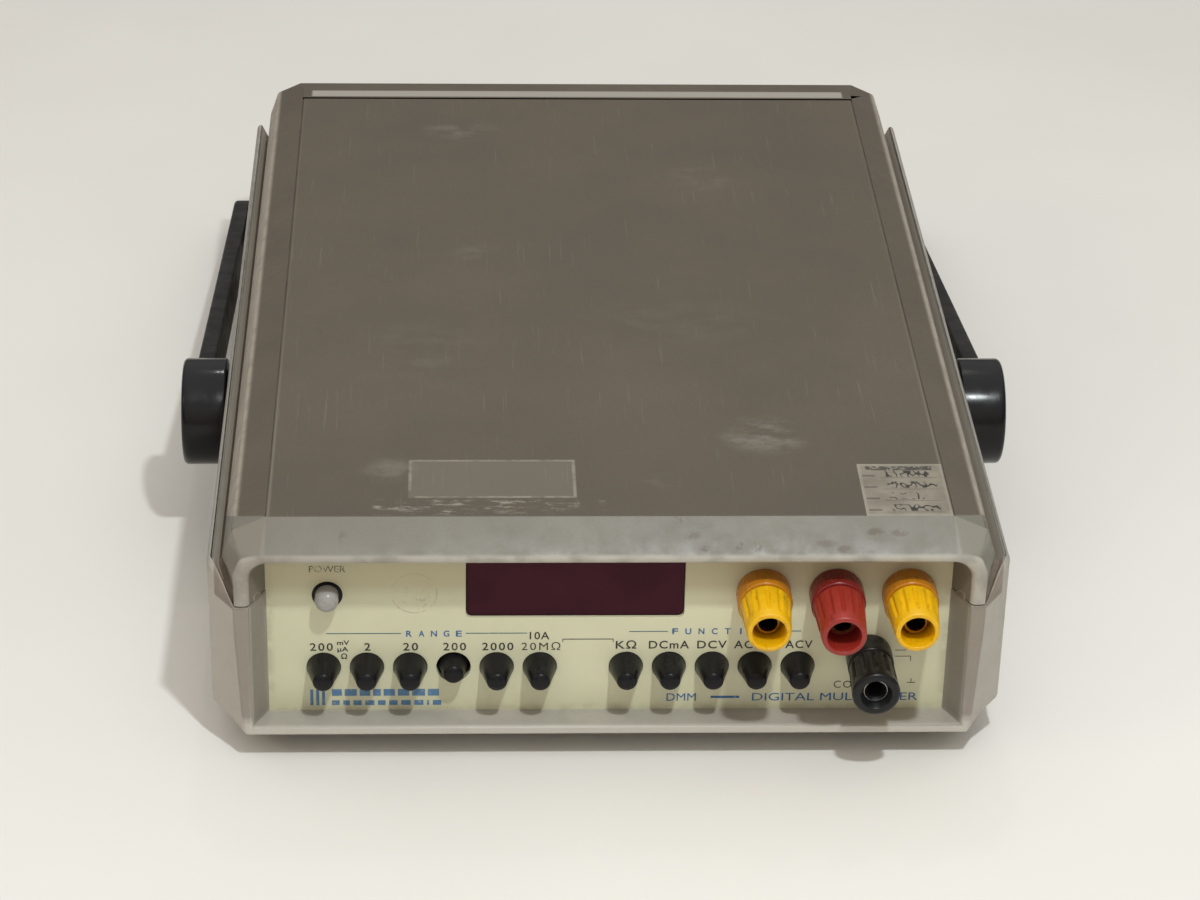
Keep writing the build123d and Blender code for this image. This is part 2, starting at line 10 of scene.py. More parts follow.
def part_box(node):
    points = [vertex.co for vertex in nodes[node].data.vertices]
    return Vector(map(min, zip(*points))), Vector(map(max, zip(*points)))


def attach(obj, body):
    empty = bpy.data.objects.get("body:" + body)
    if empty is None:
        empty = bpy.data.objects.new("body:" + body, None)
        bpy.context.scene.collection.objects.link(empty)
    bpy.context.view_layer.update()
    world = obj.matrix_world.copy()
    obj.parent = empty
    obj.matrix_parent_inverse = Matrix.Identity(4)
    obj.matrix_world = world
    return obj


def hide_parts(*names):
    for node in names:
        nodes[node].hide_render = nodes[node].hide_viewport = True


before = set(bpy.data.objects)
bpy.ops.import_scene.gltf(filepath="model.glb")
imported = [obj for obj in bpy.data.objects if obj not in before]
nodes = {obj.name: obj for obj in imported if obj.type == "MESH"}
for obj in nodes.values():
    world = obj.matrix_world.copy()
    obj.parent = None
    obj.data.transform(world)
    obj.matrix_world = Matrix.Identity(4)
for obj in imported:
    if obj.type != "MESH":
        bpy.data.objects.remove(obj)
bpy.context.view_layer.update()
random.seed(7)

MM = 0.001
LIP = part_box("lower_case")[0].y  # y of the front edge of the lower lip
ROOF = 68.6  # height of the top sheet in millimetres
LEG_FOOT = 47.4  # height where the visor's legs end
PRINT = 8.955  # depth of the front face of the printed ink
HUB_R = 15.25
FRONT = Vector((0, -1, 0))
UP = Vector((0, 0, 1))


def at(x, depth, z):
    """Point in metres from millimetres, depth measured behind the lip."""
    return Vector((x * MM, LIP + depth * MM, z * MM))


# -------- camera and light
CAMERA_PLACE = (-0.04117, -0.93138, 0.52264)
CAMERA_TURN = (2.756, 28.924, 1.29)  # degrees to the right, downwards, and of tilt
CAMERA_LENS = 106.0


def set_camera():
    yaw, dip, roll = (radians(a) for a in CAMERA_TURN)
    forward = Vector((sin(yaw) * cos(dip), cos(yaw) * cos(dip), -sin(dip)))
    flat = Vector((cos(yaw), -sin(yaw), 0))
    rise = flat.cross(forward)
    right = cos(roll) * flat + sin(roll) * rise
    up = -sin(roll) * flat + cos(roll) * rise
    data = bpy.data.cameras.new("camera")
    data.lens = CAMERA_LENS
    data.sensor_width = 36.0
    data.clip_end = 20.0
    cam = bpy.data.objects.new("camera", data)
    bpy.context.scene.collection.objects.link(cam)
    turn = Matrix((right, up, -forward)).transposed()
    cam.matrix_world = Matrix.Translation(CAMERA_PLACE) @ turn.to_4x4()
    bpy.context.scene.camera = cam


def area_light(name, place, size, power, colour):
    """Round lamp aimed at the case."""
    data = bpy.data.lights.new(name, "AREA")
    data.shape = "DISK"
    data.size = size
    data.energy = power
    data.color = colour
    lamp = bpy.data.objects.new(name, data)
    lamp.location = Vector(place)
    away = lamp.location - Vector((0, 0, 0.03))
    lamp.rotation_euler = away.to_track_quat("Z", "Y").to_euler()
    bpy.context.scene.collection.objects.link(lamp)


set_camera()
area_light("key", (0.119, -0.521, 0.826), 0.045, 3.85, (0.93, 0.985, 1.0))
area_light("front", (-0.1, -2.1, 0.75), 1.5, 2.0, (1.0, 0.8, 0.62))
area_light("rear", (0.05, 1.3, 2.1), 0.06, 1.6, (1.0, 0.98, 0.95))
area_light("side", (-1.7, -0.8, 1.3), 0.5, 2.6, (1.0, 0.8, 0.6))

world = bpy.data.worlds.new("studio")
world.use_nodes = True
sky = world.node_tree.nodes["Background"]
sky.inputs["Color"].default_value = (1.0, 0.985, 0.955, 1)
height = world.node_tree.nodes.new("ShaderNodeSeparateXYZ")
rise = world.node_tree.nodes.new("ShaderNodeMapRange")
rise.inputs["To Min"].default_value = 0.05  # horizon
rise.inputs["To Max"].default_value = 1.0  # zenith
view = world.node_tree.nodes.new("ShaderNodeTexCoord")
world.node_tree.links.new(view.outputs["Generated"], height.inputs[0])
world.node_tree.links.new(height.outputs["Z"], rise.inputs["Value"])
world.node_tree.links.new(rise.outputs[0], sky.inputs["Strength"])
bpy.context.scene.world = world
bpy.context.scene.view_settings.view_transform = "Standard"


# -------- materials
def rgb(r, g, b):
    """Linear colour from 8-bit sRGB values."""
    def lin(v):
        v /= 255
        return v / 12.92 if v <= 0.04045 else ((v + 0.055) / 1.055) ** 2.4

    return (lin(r), lin(g), lin(b), 1)


def shade(colour, k):
    """The colour made k times as bright."""
    return tuple(min(1, c * k) for c in colour[:3]) + (1,)


class Finish:
    """A procedural material made up step by step."""

    def __init__(self, name, rough=0.5, **sockets):
        self.mat = bpy.data.materials.new(name)
        self.mat.use_nodes = True
        self.tree = self.mat.node_tree
        self.tree.nodes.clear()
        self.body = self.tree.nodes.new("ShaderNodeBsdfPrincipled")
        out = self.tree.nodes.new("ShaderNodeOutputMaterial")
        self.tree.links.new(self.body.outputs["BSDF"], out.inputs["Surface"])
        self.body.inputs["Roughness"].default_value = rough
        for key, value in sockets.items():
            self.body.inputs[key.replace("_", " ")].default_value = value
        self.place = self.node("ShaderNodeTexCoord").outputs["Object"]
        split = self.node("ShaderNodeSeparateXYZ", (self.place,))
        self.x, self.y, self.z = split.outputs

    def node(self, kind, inputs=(), **props):
        n = self.tree.nodes.new(kind)
        for key, value in props.items():
            setattr(n, key, value)
        for i, value in enumerate(inputs):
            self.link(value, n.inputs[i])
        return n

    def link(self, value, socket):
        if isinstance(value, bpy.types.NodeSocket):
            self.tree.links.new(value, socket)
        else:
            socket.default_value = value

    def math(self, op, a, b=0.0, clamp=False):
        return self.node("ShaderNodeMath", (a, b), operation=op, use_clamp=clamp).outputs[0]

    def times(self, *values):
        total = values[0]
        for v in values[1:]:
            total = self.math("MULTIPLY", total, v)
        return total

    def most(self, *values):
        top = values[0]
        for v in values[1:]:
            top = self.math("MAXIMUM", top, v)
        return top

    def ease(self, value, low, high, a=0.0, b=1.0):
        return self.node("ShaderNodeMapRange", (value, low, high, a, b),
                         interpolation_type="SMOOTHSTEP").outputs[0]

    def by(self, place, start, end, *reach):
        """Mask along x, y or z from start to end, in millimetres, y measured from the lip."""
        base = LIP if place is self.y else 0.0
        return self.ease(place, base + start * MM, base + end * MM, *reach)

    def noise(self, size, detail=2.0, rough=0.5, stretch=(1, 1, 1), shift=(0, 0, 0)):
        """Noise with features of this size in millimetres."""
        scale = 1000.0 / size
        vec = self.node("ShaderNodeMapping", (self.place,))
        vec.inputs["Scale"].default_value = [scale / s for s in stretch]
        vec.inputs["Location"].default_value = shift
        n = self.node("ShaderNodeTexNoise")
        self.link(vec.outputs[0], n.inputs["Vector"])
        n.inputs["Scale"].default_value = 1.0
        n.inputs["Detail"].default_value = detail
        n.inputs["Roughness"].default_value = rough
        return n.outputs["Fac"]

    def cloud(self, size, low=0.0, high=1.0, detail=4.0, rough=0.6, **place):
        """Soft patches of this size in millimetres, between two values."""
        return self.ease(self.noise(size, detail, rough, **place), 0.3, 0.7, low, high)

    def mix(self, fac, a, b):
        n = self.tree.nodes.new("ShaderNodeMix")
        n.data_type = "RGBA"
        self.link(fac, n.inputs[0])
        self.link(a, n.inputs[6])
        self.link(b, n.inputs[7])
        return n.outputs[2]

    def coat(self, tint, over, *masks):
        """Lays a second colour over the tint, as far as all the masks allow."""
        return self.mix(self.times(*masks), tint, over)

    def box(self, x0, x1, d0, d1, soft):
        """Mask of a rectangle in x and depth, in millimetres."""
        return self.times(
            self.by(self.x, x0 - soft, x0 + soft), self.by(self.x, x1 + soft, x1 - soft),
            self.by(self.y, d0 - soft, d0 + soft), self.by(self.y, d1 + soft, d1 - soft),
        )

    def spot(self, centre, radii, soft=0.5):
        """Mask of an ellipsoid round a point, in millimetres from the lip."""
        c = at(*centre)
        away = self.node("ShaderNodeVectorMath", (self.place, c), operation="SUBTRACT").outputs[0]
        size = [1000.0 / r for r in radii]
        away = self.node("ShaderNodeVectorMath", (away, size), operation="MULTIPLY").outputs[0]
        reach = self.node("ShaderNodeVectorMath", (away,), operation="LENGTH").outputs["Value"]
        return self.ease(reach, 1.0, 1.0 - soft)

    def edges(self, radius):
        """Mask of what lies near a convex or concave edge."""
        rounded_normal = self.node("ShaderNodeBevel", (radius * MM,), samples=4).outputs[0]
        true_normal = self.node("ShaderNodeNewGeometry").outputs["True Normal"]
        dot = self.node("ShaderNodeVectorMath", (rounded_normal, true_normal),
                        operation="DOT_PRODUCT").outputs["Value"]
        return self.ease(dot, 0.97, 0.75)

    def colour(self, value):
        self.link(value, self.body.inputs["Base Color"])

    def rough(self, value):
        self.link(value, self.body.inputs["Roughness"])

    def bump(self, height, distance):
        """Relief, distance in millimetres."""
        n = self.node("ShaderNodeBump")
        n.inputs["Strength"].default_value = 1.0
        n.inputs["Distance"].default_value = distance * MM
        self.link(height, n.inputs["Height"])
        self.link(n.outputs[0], self.body.inputs["Normal"])


def moulded(name, tone, rough=0.5, grain=0.5, relief=0.03, spread=0.12, grime=None, wear=None,
            patch=28.0, **sockets):
    """Moulded plastic with fine grain, uneven tone, grime and lighter rubbed edges."""
    f = Finish(name, rough, **sockets)
    cloudy = f.noise(patch, 4.0, 0.6)
    fine = f.noise(grain, 3.0, 0.6)
    tint = f.mix(f.ease(cloudy, 0.3, 0.7), shade(tone, 1 - spread), shade(tone, 1 + spread))
    tint = f.coat(tint, shade(tone, 0.62), f.ease(fine, 0.35, 0.65), 0.16)
    if grime:
        dirt = f.times(f.ease(f.noise(11.0, 5.0, 0.65, shift=(3, 1, 2)), 0.52, 0.75), 0.55)
        tint = f.mix(dirt, tint, grime)
    if wear:
        tint = f.mix(f.times(f.edges(0.9), f.ease(f.noise(5.0, 3.0, 0.6), 0.3, 0.6, 0.25, 0.9)),
                     tint, wear)
    f.colour(tint)
    f.rough(f.cloud(7.0, rough - 0.07, rough + 0.08, shift=(9, 2, 5)))
    f.bump(f.math("ADD", fine, f.times(f.noise(3.0, 2.0), 0.6)), relief)
    return f


GREY = rgb(180, 174, 163)
VISOR = rgb(116, 112, 101)
TAUPE = rgb(91, 82, 69)
CREAM = rgb(219, 217, 184)


def case_finish():
    """Grey moulding of the lower case, dirty on the fins and darker on the inner walls of the
    funnel, with painted shade on the front faces of the cheeks and a painted highlight on the front
    of the lip.
    """
    f = Finish("grey_moulding", 0.46)
    fine = f.noise(0.45, 3.0, 0.6)
    tint = f.mix(f.cloud(28.0), shade(GREY, 0.95), shade(GREY, 1.05))
    tint = f.coat(tint, shade(GREY, 0.62), f.ease(fine, 0.35, 0.65), 0.14)
    dirt = f.times(f.ease(f.noise(11.0, 5.0, 0.65, shift=(3, 1, 2)), 0.52, 0.78), 0.3)
    tint = f.mix(dirt, tint, rgb(120, 112, 97))
    out = f.math("ABSOLUTE", f.x)
    fin = f.times(f.by(out, 102.3, 102.7), f.by(f.z, 49, 54),
                  f.by(f.y, 8, 12))
    tint = f.coat(tint, rgb(118, 115, 107), fin, 0.7)
    inner = f.times(f.by(out, 102.6, 102.0), f.by(f.z, 46.2, 46.8))
    tint = f.coat(tint, rgb(170, 156, 138), inner, 0.6)
    bow = f.times(inner, f.by(f.y, 12, 9))
    tint = f.coat(tint, rgb(124, 111, 96), bow, 0.75)
    gutter = f.times(inner, f.by(f.z, 50.0, 47.5))
    tint = f.coat(tint, rgb(124, 112, 97), gutter, 0.7)
    funnel = f.times(f.by(out, 93.9, 93.2), f.by(out, 88.0, 90.5),
                     f.by(f.y, 0.5, 2.0), f.by(f.z, 9.0, 12.0))
    tint = f.coat(tint, rgb(98, 93, 80), funnel, 0.55)
    stain = f.times(f.box(-90.0, 90.0, 1.5, 9.2, 1.0),
                    f.ease(f.noise(16.0, 4.0, 0.6), 0.35, 0.65, 0.4, 1.0), 0.4)
    tint = f.mix(stain, tint, rgb(136, 133, 124))
    # painted highlight: the front face of the lip is lighter
    lip = f.times(f.by(f.y, 1.4, 0.5), f.by(f.z, 12.0, 11.0))
    tint = f.coat(tint, rgb(204, 200, 190), lip, 0.6)
    # painted shade: the front faces of the cheeks, above the lip, are darker
    rim = f.times(f.by(out, 97.5, 97.1), f.by(f.y, 1.0, 0.4),
                  f.by(f.z, 12.0, 14.0))
    tint = f.coat(tint, rgb(132, 122, 109), rim, 0.7)
    wear = f.times(f.edges(0.9), f.ease(f.noise(5.0, 3.0, 0.6), 0.3, 0.6, 0.2, 0.8))
    f.colour(f.mix(wear, tint, rgb(178, 174, 163)))
    f.rough(f.cloud(7.0, 0.4, 0.54, shift=(9, 2, 5)))
    f.bump(f.math("ADD", fine, f.times(f.noise(3.0, 2.0), 0.6)), 0.03)
    return f


m_case = case_finish()


def roof_finish():
    """Taupe coat of the upper case, worn to the grey moulding along its edges and at the rear."""
    f = Finish("taupe_coat_over_grey", 0.6)
    cloudy = f.noise(30.0, 4.0, 0.6)
    fine = f.noise(0.45, 3.0, 0.6)
    tint = f.mix(f.ease(cloudy, 0.3, 0.7), shade(TAUPE, 0.92), shade(TAUPE, 1.08))
    tint = f.coat(tint, shade(TAUPE, 0.6), f.ease(fine, 0.4, 0.65), 0.2)
    ragged = f.ease(f.noise(5.0, 4.0, 0.65), 0.3, 0.6, 0.7, 1.0)
    side = f.times(f.by(f.z, 65.4, 64.7), ragged)
    tint = f.mix(side, tint, rgb(162, 153, 139))
    rear = f.box(-86.0, 86.0, 281.0, 285.6, 0.4)
    tint = f.mix(rear, tint, shade(GREY, 0.78))
    low = f.by(f.z, 56.6, 55.6)
    tint = f.mix(low, tint, rgb(100, 92, 80))
    lean = 1.75  # depth gained per height lost along the slope of the visor
    slant = f.node("ShaderNodeMath", (f.z, lean, f.y), operation="MULTIPLY_ADD").outputs[0]
    start = LIP + (9.6 + lean * ROOF) * MM
    front = f.ease(f.math("ADD", slant, f.times(f.noise(2.5, 3.0), 0.001)),
                   start + 0.9 * MM, start + 0.3 * MM)
    visor = f.mix(f.ease(cloudy, 0.3, 0.7), shade(VISOR, 0.95), shade(VISOR, 1.08))
    f.colour(f.mix(front, tint, visor))
    f.rough(f.cloud(6.0, 0.5, 0.66))
    f.bump(f.math("ADD", fine, f.times(f.noise(2.0, 2.0), 0.7)), 0.035)
    return f


m_roof = roof_finish()


def top_finish():
    """Fine-grained taupe sheet with scuffs, dust and the outline of an old label."""
    f = Finish("taupe_sheet", 0.62)
    cloudy = f.noise(46.0, 5.0, 0.62)
    fine = f.noise(0.42, 3.0, 0.65)
    tint = f.mix(f.ease(cloudy, 0.3, 0.72), shade(TAUPE, 0.9), shade(TAUPE, 1.1))
    tint = f.coat(tint, shade(TAUPE, 0.55), f.ease(fine, 0.38, 0.68), 0.30)
    tint = f.coat(tint, rgb(78, 70, 60), f.by(f.y, 75, 8), 0.3)
    pale = rgb(138, 132, 122)
    smear = f.ease(f.noise(9.0, 6.0, 0.7, stretch=(1.6, 1, 1)), 0.42, 0.7)
    marks = [  # x, depth, their reach each way, strength
        (42.9, 52.8, 15, 13, 0.75), (-38.3, 254, 16, 10, 0.4), (35.7, 218, 14, 12, 0.28),
        (-29.7, 165, 15, 8, 0.3), (-57, 34, 10, 9, 0.4), (13.7, 27, 9, 6, 0.3),
        (20, 120, 40, 18, 0.12), (-50, 100, 26, 30, 0.12),
    ]
    dust = f.most(*[f.times(f.spot((x, d, ROOF), (a, b, 5), 0.8), k) for x, d, a, b, k in marks])
    tint = f.coat(tint, pale, dust, smear)
    ragged = f.ease(f.noise(6.0, 5.0, 0.7), 0.3, 0.62, 0.15, 1.0)
    label = f.math("SUBTRACT", f.box(-52.3, -8.6, 19.0, 39.2, 0.25),
                   f.box(-51.4, -9.5, 20.0, 38.3, 0.25), clamp=True)  # outline of glue
    film = f.times(f.box(-52.3, -8.6, 19.0, 39.2, 0.2), 0.16)
    scrape = f.times(f.box(-61.0, -1.0, 10.5, 18.0, 1.0),
                     f.ease(f.noise(2.6, 8.0, 0.8, stretch=(2.6, 0.8, 1)), 0.5, 0.57),
                     f.ease(f.noise(9.0, 3.0, 0.6, shift=(2, 7, 0)), 0.4, 0.6))
    residue = f.most(f.times(label, ragged, 0.6), f.times(scrape, 0.6), film)
    tint = f.mix(residue, tint, rgb(160, 154, 143))
    lines = f.noise(14.0, 2.0, 0.5, stretch=(0.06, 2.4, 1), shift=(0, 4, 0))
    tint = f.coat(tint, pale, f.ease(lines, 0.66, 0.72), 0.16)
    # lighter strip along each side edge of the sheet, strongest at the front: partly wear, partly a
    # painted highlight on the raised edge
    border = f.times(f.by(f.math("ABSOLUTE", f.x), 87.4, 88.3),
                     f.by(f.y, 150, 20, 0.15, 0.6))
    tint = f.mix(border, tint, rgb(126, 119, 107))
    # paper label at the front right, with ruled lines and worn pen strokes
    paper = f.box(65.9, 88.5, 9.6, 36.8, 0.1)
    stock = f.mix(f.cloud(9.0), rgb(118, 111, 98), rgb(143, 136, 121))
    band = f.times(f.box(68.0, 85.5, 33.4, 35.5, 0.15), f.ease(f.noise(1.1, 3.0), 0.36, 0.5))
    rows = f.most(*[f.box(71.5, 86.5, d, d + 0.28, 0.08) for d in (11.2, 17.2, 23.2, 29.2)])
    heads = f.most(*[f.box(66.8, 70.2, d, d + 0.9, 0.12) for d in (12.0, 18.0, 24.0, 30.0)])
    stroke = f.noise(3.0, 1.0, 0.3, stretch=(0.7, 1.2, 1))
    stroke = f.times(f.ease(stroke, 0.44, 0.47), f.ease(stroke, 0.56, 0.53))
    written = f.most(*[f.box(73.0, x1, d, d + 3.4, 0.4)
                       for x1, d in ((85.5, 11.9), (82.0, 18.0), (86.0, 24.0), (84.5, 29.8))])
    inked = f.most(f.times(band, 0.8), f.times(rows, 0.45), f.times(heads, 0.5),
                   f.times(written, stroke, 0.95))
    rim = f.math("SUBTRACT", 1.0, f.box(66.7, 87.7, 10.4, 36.0, 0.25))
    stock = f.coat(stock, rgb(160, 155, 142), rim, 0.35)
    tint = f.mix(paper, tint, f.mix(inked, stock, rgb(34, 31, 30)))
    f.colour(tint)
    f.rough(f.ease(cloudy, 0.3, 0.7, 0.56, 0.7))
    f.bump(f.math("ADD", f.math("ADD", fine, f.times(residue, 1.2)), f.times(paper, 2.0)), 0.05)
    return f


m_top = top_finish()


def visor_finish():
    """Grey moulding of the visor with brown smears, painted highlights on its lip and outer facets,
    and painted shade towards its left end.
    """
    f = Finish("visor_moulding", 0.44)
    fine = f.noise(0.5, 3.0, 0.6)
    tint = f.mix(f.cloud(34.0), shade(VISOR, 0.94), shade(VISOR, 1.08))
    tint = f.coat(tint, shade(VISOR, 0.6), f.ease(fine, 0.4, 0.65), 0.12)
    streaks = f.ease(f.noise(5.0, 4.0, 0.65, stretch=(0.5, 2.5, 1)), 0.45, 0.75)
    tint = f.coat(tint, rgb(120, 112, 98), streaks, 0.22)
    smears = [  # place, radii, strength
        ((17.0, 8.6, 68.0), (2.2, 1.6, 2), 0.6), ((20.6, 4.9, 65.4), (3.0, 1.6, 2), 0.6),
        ((23.6, 2.0, 63.2), (1.8, 1.4, 2), 0.7), ((32.6, 2.6, 63.6), (2.2, 1.6, 2), 0.9),
        ((37.2, 2.2, 63.4), (1.8, 1.7, 2), 0.9), ((55.0, 3.0, 64.0), (3.6, 1.4, 2), 0.5),
        ((59.5, 1.8, 63.0), (2.4, 1.2, 2), 0.7), ((67.8, 5.6, 66.0), (3.2, 1.4, 2), 0.7),
        ((74.2, 5.4, 65.8), (3.0, 1.2, 2), 0.75), ((66.0, 0.8, 62.4), (2.6, 1.0, 2), 0.5),
        ((-69.0, 4.4, 65.0), (1.2, 2.4, 3), 0.5),
    ]
    ragged = f.ease(f.noise(2.4, 5.0, 0.7), 0.4, 0.55)
    brown = f.most(*[f.times(f.spot(c, r, 0.6), k) for c, r, k in smears])
    tint = f.coat(tint, rgb(88, 74, 62), brown, ragged)
    # painted highlight along the lower front edge of the visor
    lip = f.times(f.by(f.y, 1.3, 0.6), f.by(f.z, 62.6, 61.6),
                  f.ease(f.noise(8.0, 3.0), 0.3, 0.6, 0.5, 1.0))
    tint = f.coat(tint, rgb(188, 183, 171), lip, 0.85)
    # painted highlight: the outer facets of the visor, beyond the crease, are lighter
    side_facet_highlight = f.times(f.by(f.math("ABSOLUTE", f.x), 88.2, 89.4), f.by(f.z, 60.5, 62.5))
    tint = f.coat(tint, rgb(142, 138, 126), side_facet_highlight, 0.6)
    # painted shade: darker and browner towards the left end, away from the key lamp
    f.colour(f.coat(tint, rgb(116, 104, 92), f.by(f.x, -20, -95), 0.3))
    f.rough(f.cloud(6.0, 0.38, 0.54))
    f.bump(fine, 0.03)
    return f


m_visor = visor_finish()


def panel_finish():
    """Cream painted panel with a faint ring left by a sticker, and painted shade over its upper
    part under the visor.
    """
    f = Finish("cream_panel", 0.42)
    tint = f.mix(f.cloud(40.0), shade(CREAM, 0.95), shade(CREAM, 1.03))
    fine = f.noise(0.35, 2.0, 0.5)
    tint = f.coat(tint, shade(CREAM, 0.7), f.ease(fine, 0.4, 0.7), 0.05)
    away = f.node("ShaderNodeVectorMath", (f.place, at(-50.8, 9.0, 45.8)), operation="DISTANCE")
    far = away.outputs["Value"]
    ring = f.times(f.by(far, 5.5, 5.9), f.by(far, 6.3, 5.9))
    broken = f.ease(f.noise(2.6, 4.0, 0.7), 0.4, 0.6)
    inside = f.times(f.by(far, 5.4, 4.2), f.ease(f.noise(1.6, 4.0, 0.7), 0.52, 0.66), 0.25)
    tint = f.mix(f.most(f.times(ring, broken, 0.4), inside), tint, rgb(126, 116, 92))
    rim = f.most(f.by(f.z, 12.5, 9.6), f.by(f.x, -86.5, -89.2),
                 f.by(f.x, 86.5, 89.2))
    dirt = f.times(rim, f.ease(f.noise(6.0, 4.0, 0.6), 0.35, 0.6), 0.35)
    tint = f.mix(dirt, tint, rgb(150, 142, 112))
    # painted shade: from 44 to 49 mm up, the panel turns darker and warmer where the visor's shadow
    # falls
    f.colour(f.coat(tint, rgb(192, 180, 142), f.by(f.z, 44.0, 49.0), 0.7))
    f.rough(f.cloud(9.0, 0.36, 0.48, detail=3.0))
    f.bump(fine, 0.015)
    return f


m_panel = panel_finish()


def window_finish():
    """Dark maroon acrylic, smooth and glossy."""
    f = Finish("maroon_acrylic", 0.16, Specular_IOR_Level=0.1)
    tint = f.mix(f.cloud(18.0, detail=3.0, rough=0.5), rgb(64, 24, 36), rgb(74, 29, 42))
    # painted shade: the window grows darker towards its bottom edge
    f.colour(f.mix(f.times(f.by(f.z, 41.5, 37.0), 0.8), tint, rgb(36, 13, 21)))
    f.rough(f.cloud(6.0, 0.12, 0.22))
    f.bump(f.noise(8.0, 1.0), 0.01)
    return f


m_window = window_finish()
m_black = moulded("black_button_plastic", rgb(24, 23, 25), 0.32, 0.3, 0.006, 0.12, patch=9.0,
                  Specular_IOR_Level=0.2)
m_handle = moulded("charcoal_moulding", rgb(27, 25, 24), 0.46, 0.6, 0.04, 0.12,
                   grime=rgb(42, 38, 35), wear=rgb(58, 54, 50), patch=22.0, Specular_IOR_Level=0.22)
m_hub = moulded("glossy_black_hub", rgb(20, 19, 21), 0.19, 0.5, 0.008, 0.1,
                grime=rgb(28, 27, 27), patch=14.0, Specular_IOR_Level=0.28)
m_grime = moulded("packed_grime", rgb(128, 114, 98), 0.75, 0.5, 0.06, 0.2,
                  grime=rgb(84, 74, 62), patch=9.0)
m_dust = moulded("dust_in_seam", rgb(72, 64, 54), 0.8, 0.4, 0.05, 0.3,
                 grime=rgb(104, 97, 86), patch=12.0)
m_post_black = moulded("black_post_plastic", rgb(24, 24, 25), 0.28, 0.4, 0.01, 0.12,
                       wear=rgb(44, 44, 45), patch=8.0, Specular_IOR_Level=0.3)


def post_finish(name, tone, grime, rough=0.34):
    """Semi-gloss binding post plastic with dark specks and grime."""
    f = Finish(name, rough)
    f.body.inputs["Subsurface Weight"].default_value = 0.08
    f.body.inputs["Subsurface Radius"].default_value = (0.004, 0.002, 0.001)
    f.body.inputs["Subsurface Scale"].default_value = 0.4
    tint = f.mix(f.cloud(7.0, detail=3.0), shade(tone, 0.92), shade(tone, 1.05))
    tint = f.coat(tint, shade(tone, 1.25), f.edges(0.4), 0.3)
    streak = f.ease(f.noise(1.1, 4.0, 0.7, stretch=(1, 5, 1)), 0.56, 0.68)
    speck = f.ease(f.noise(1.7, 5.0, 0.75), 0.6, 0.72)
    f.colour(f.mix(f.times(f.most(streak, speck), 0.5), tint, grime))
    f.rough(f.cloud(3.0, rough - 0.06, rough + 0.1))
    f.bump(f.noise(1.2, 3.0), 0.03)
    return f


m_yellow = post_finish("yellow_post_plastic", rgb(234, 180, 5), rgb(150, 96, 10))
m_orange = post_finish("amber_collar_plastic", rgb(196, 124, 10), rgb(110, 66, 10), 0.3)
m_red = post_finish("red_post_plastic", rgb(153, 44, 34), rgb(88, 18, 16))
m_maroon = post_finish("red_collar_plastic", rgb(124, 24, 24), rgb(70, 12, 14), 0.3)
m_power = post_finish("light_grey_button", rgb(166, 163, 158), rgb(116, 110, 102), 0.24)


def metal(name, tone, rough, brushed=False):
    """Metal with fine, sometimes brushed, grain and patches of tarnish."""
    f = Finish(name, rough, Metallic=1.0)
    fine = f.noise(0.6, 4.0, 0.7, stretch=(1, 6, 1) if brushed else (1, 1, 1))
    tarnish = f.ease(f.noise(4.0, 4.0, 0.65), 0.45, 0.75)
    f.colour(f.mix(f.times(tarnish, 0.5), tone, shade(tone, 0.5)))
    f.rough(f.ease(fine, 0.3, 0.7, rough - 0.06, rough + 0.12))
    f.bump(fine, 0.01)
    return f


m_plated = metal("nickel_plate", rgb(176, 172, 162), 0.22)
# studs deep inside the yellow and red caps: nickel plate painted dark amber, a painted shade and a
# painted amber reflection of the caps
m_plate_painted_shade_amber = metal("plate_with_painted_shade_and_amber_reflection", rgb(150, 112, 58), 0.24)
m_steel = metal("zinc_steel", rgb(176, 174, 168), 0.36, True)
m_rubber = moulded("black_rubber", rgb(38, 37, 36), 0.8, 0.8, 0.08, 0.15, grime=rgb(88, 82, 74),
                   patch=6.0)
m_inlet = moulded("inlet_plastic", rgb(26, 26, 27), 0.42, 0.4, 0.02, 0.15, patch=8.0)
m_chip = moulded("chip_plastic", rgb(30, 30, 31), 0.55, 0.4, 0.02, 0.12, patch=5.0)
m_switch = moulded("switch_plastic", rgb(196, 192, 180), 0.45, 0.4, 0.02, 0.08, patch=8.0)
m_core = metal("lamination_steel", rgb(120, 116, 110), 0.5, True)


def board_finish():
    """Green solder mask over copper tracks."""
    f = Finish("circuit_board", 0.4)
    vec = f.node("ShaderNodeMapping", (f.place,))
    vec.inputs["Scale"].default_value = (220.0, 220.0, 220.0)
    cells = f.node("ShaderNodeTexBrick", (vec.outputs[0], rgb(28, 92, 52), rgb(34, 104, 60),
                                          rgb(54, 132, 78)))
    cells.inputs["Mortar Size"].default_value = 0.03
    f.colour(cells.outputs["Color"])
    f.rough(f.cloud(5.0, 0.34, 0.5, detail=2.0, rough=0.5))
    f.bump(cells.outputs["Fac"], 0.04)
    return f


def coil_finish():
    """Varnished copper winding."""
    f = Finish("copper_winding", 0.35, Metallic=0.7)
    wave = f.node("ShaderNodeTexWave", (f.place, 620.0, 0.6), bands_direction="Z")
    f.colour(f.mix(wave.outputs["Fac"], rgb(96, 46, 22), rgb(184, 104, 56)))
    f.rough(f.cloud(2.0, 0.28, 0.42, detail=2.0, rough=0.5))
    f.bump(wave.outputs["Fac"], 0.15)
    return f


def glass_finish():
    """Clear glass of the fuse."""
    f = Finish("fuse_glass", 0.1, Transmission_Weight=0.85, IOR=1.5)
    f.colour(f.mix(f.noise(3.0), rgb(206, 216, 210), rgb(226, 232, 226)))
    f.bump(f.noise(4.0), 0.005)
    return f


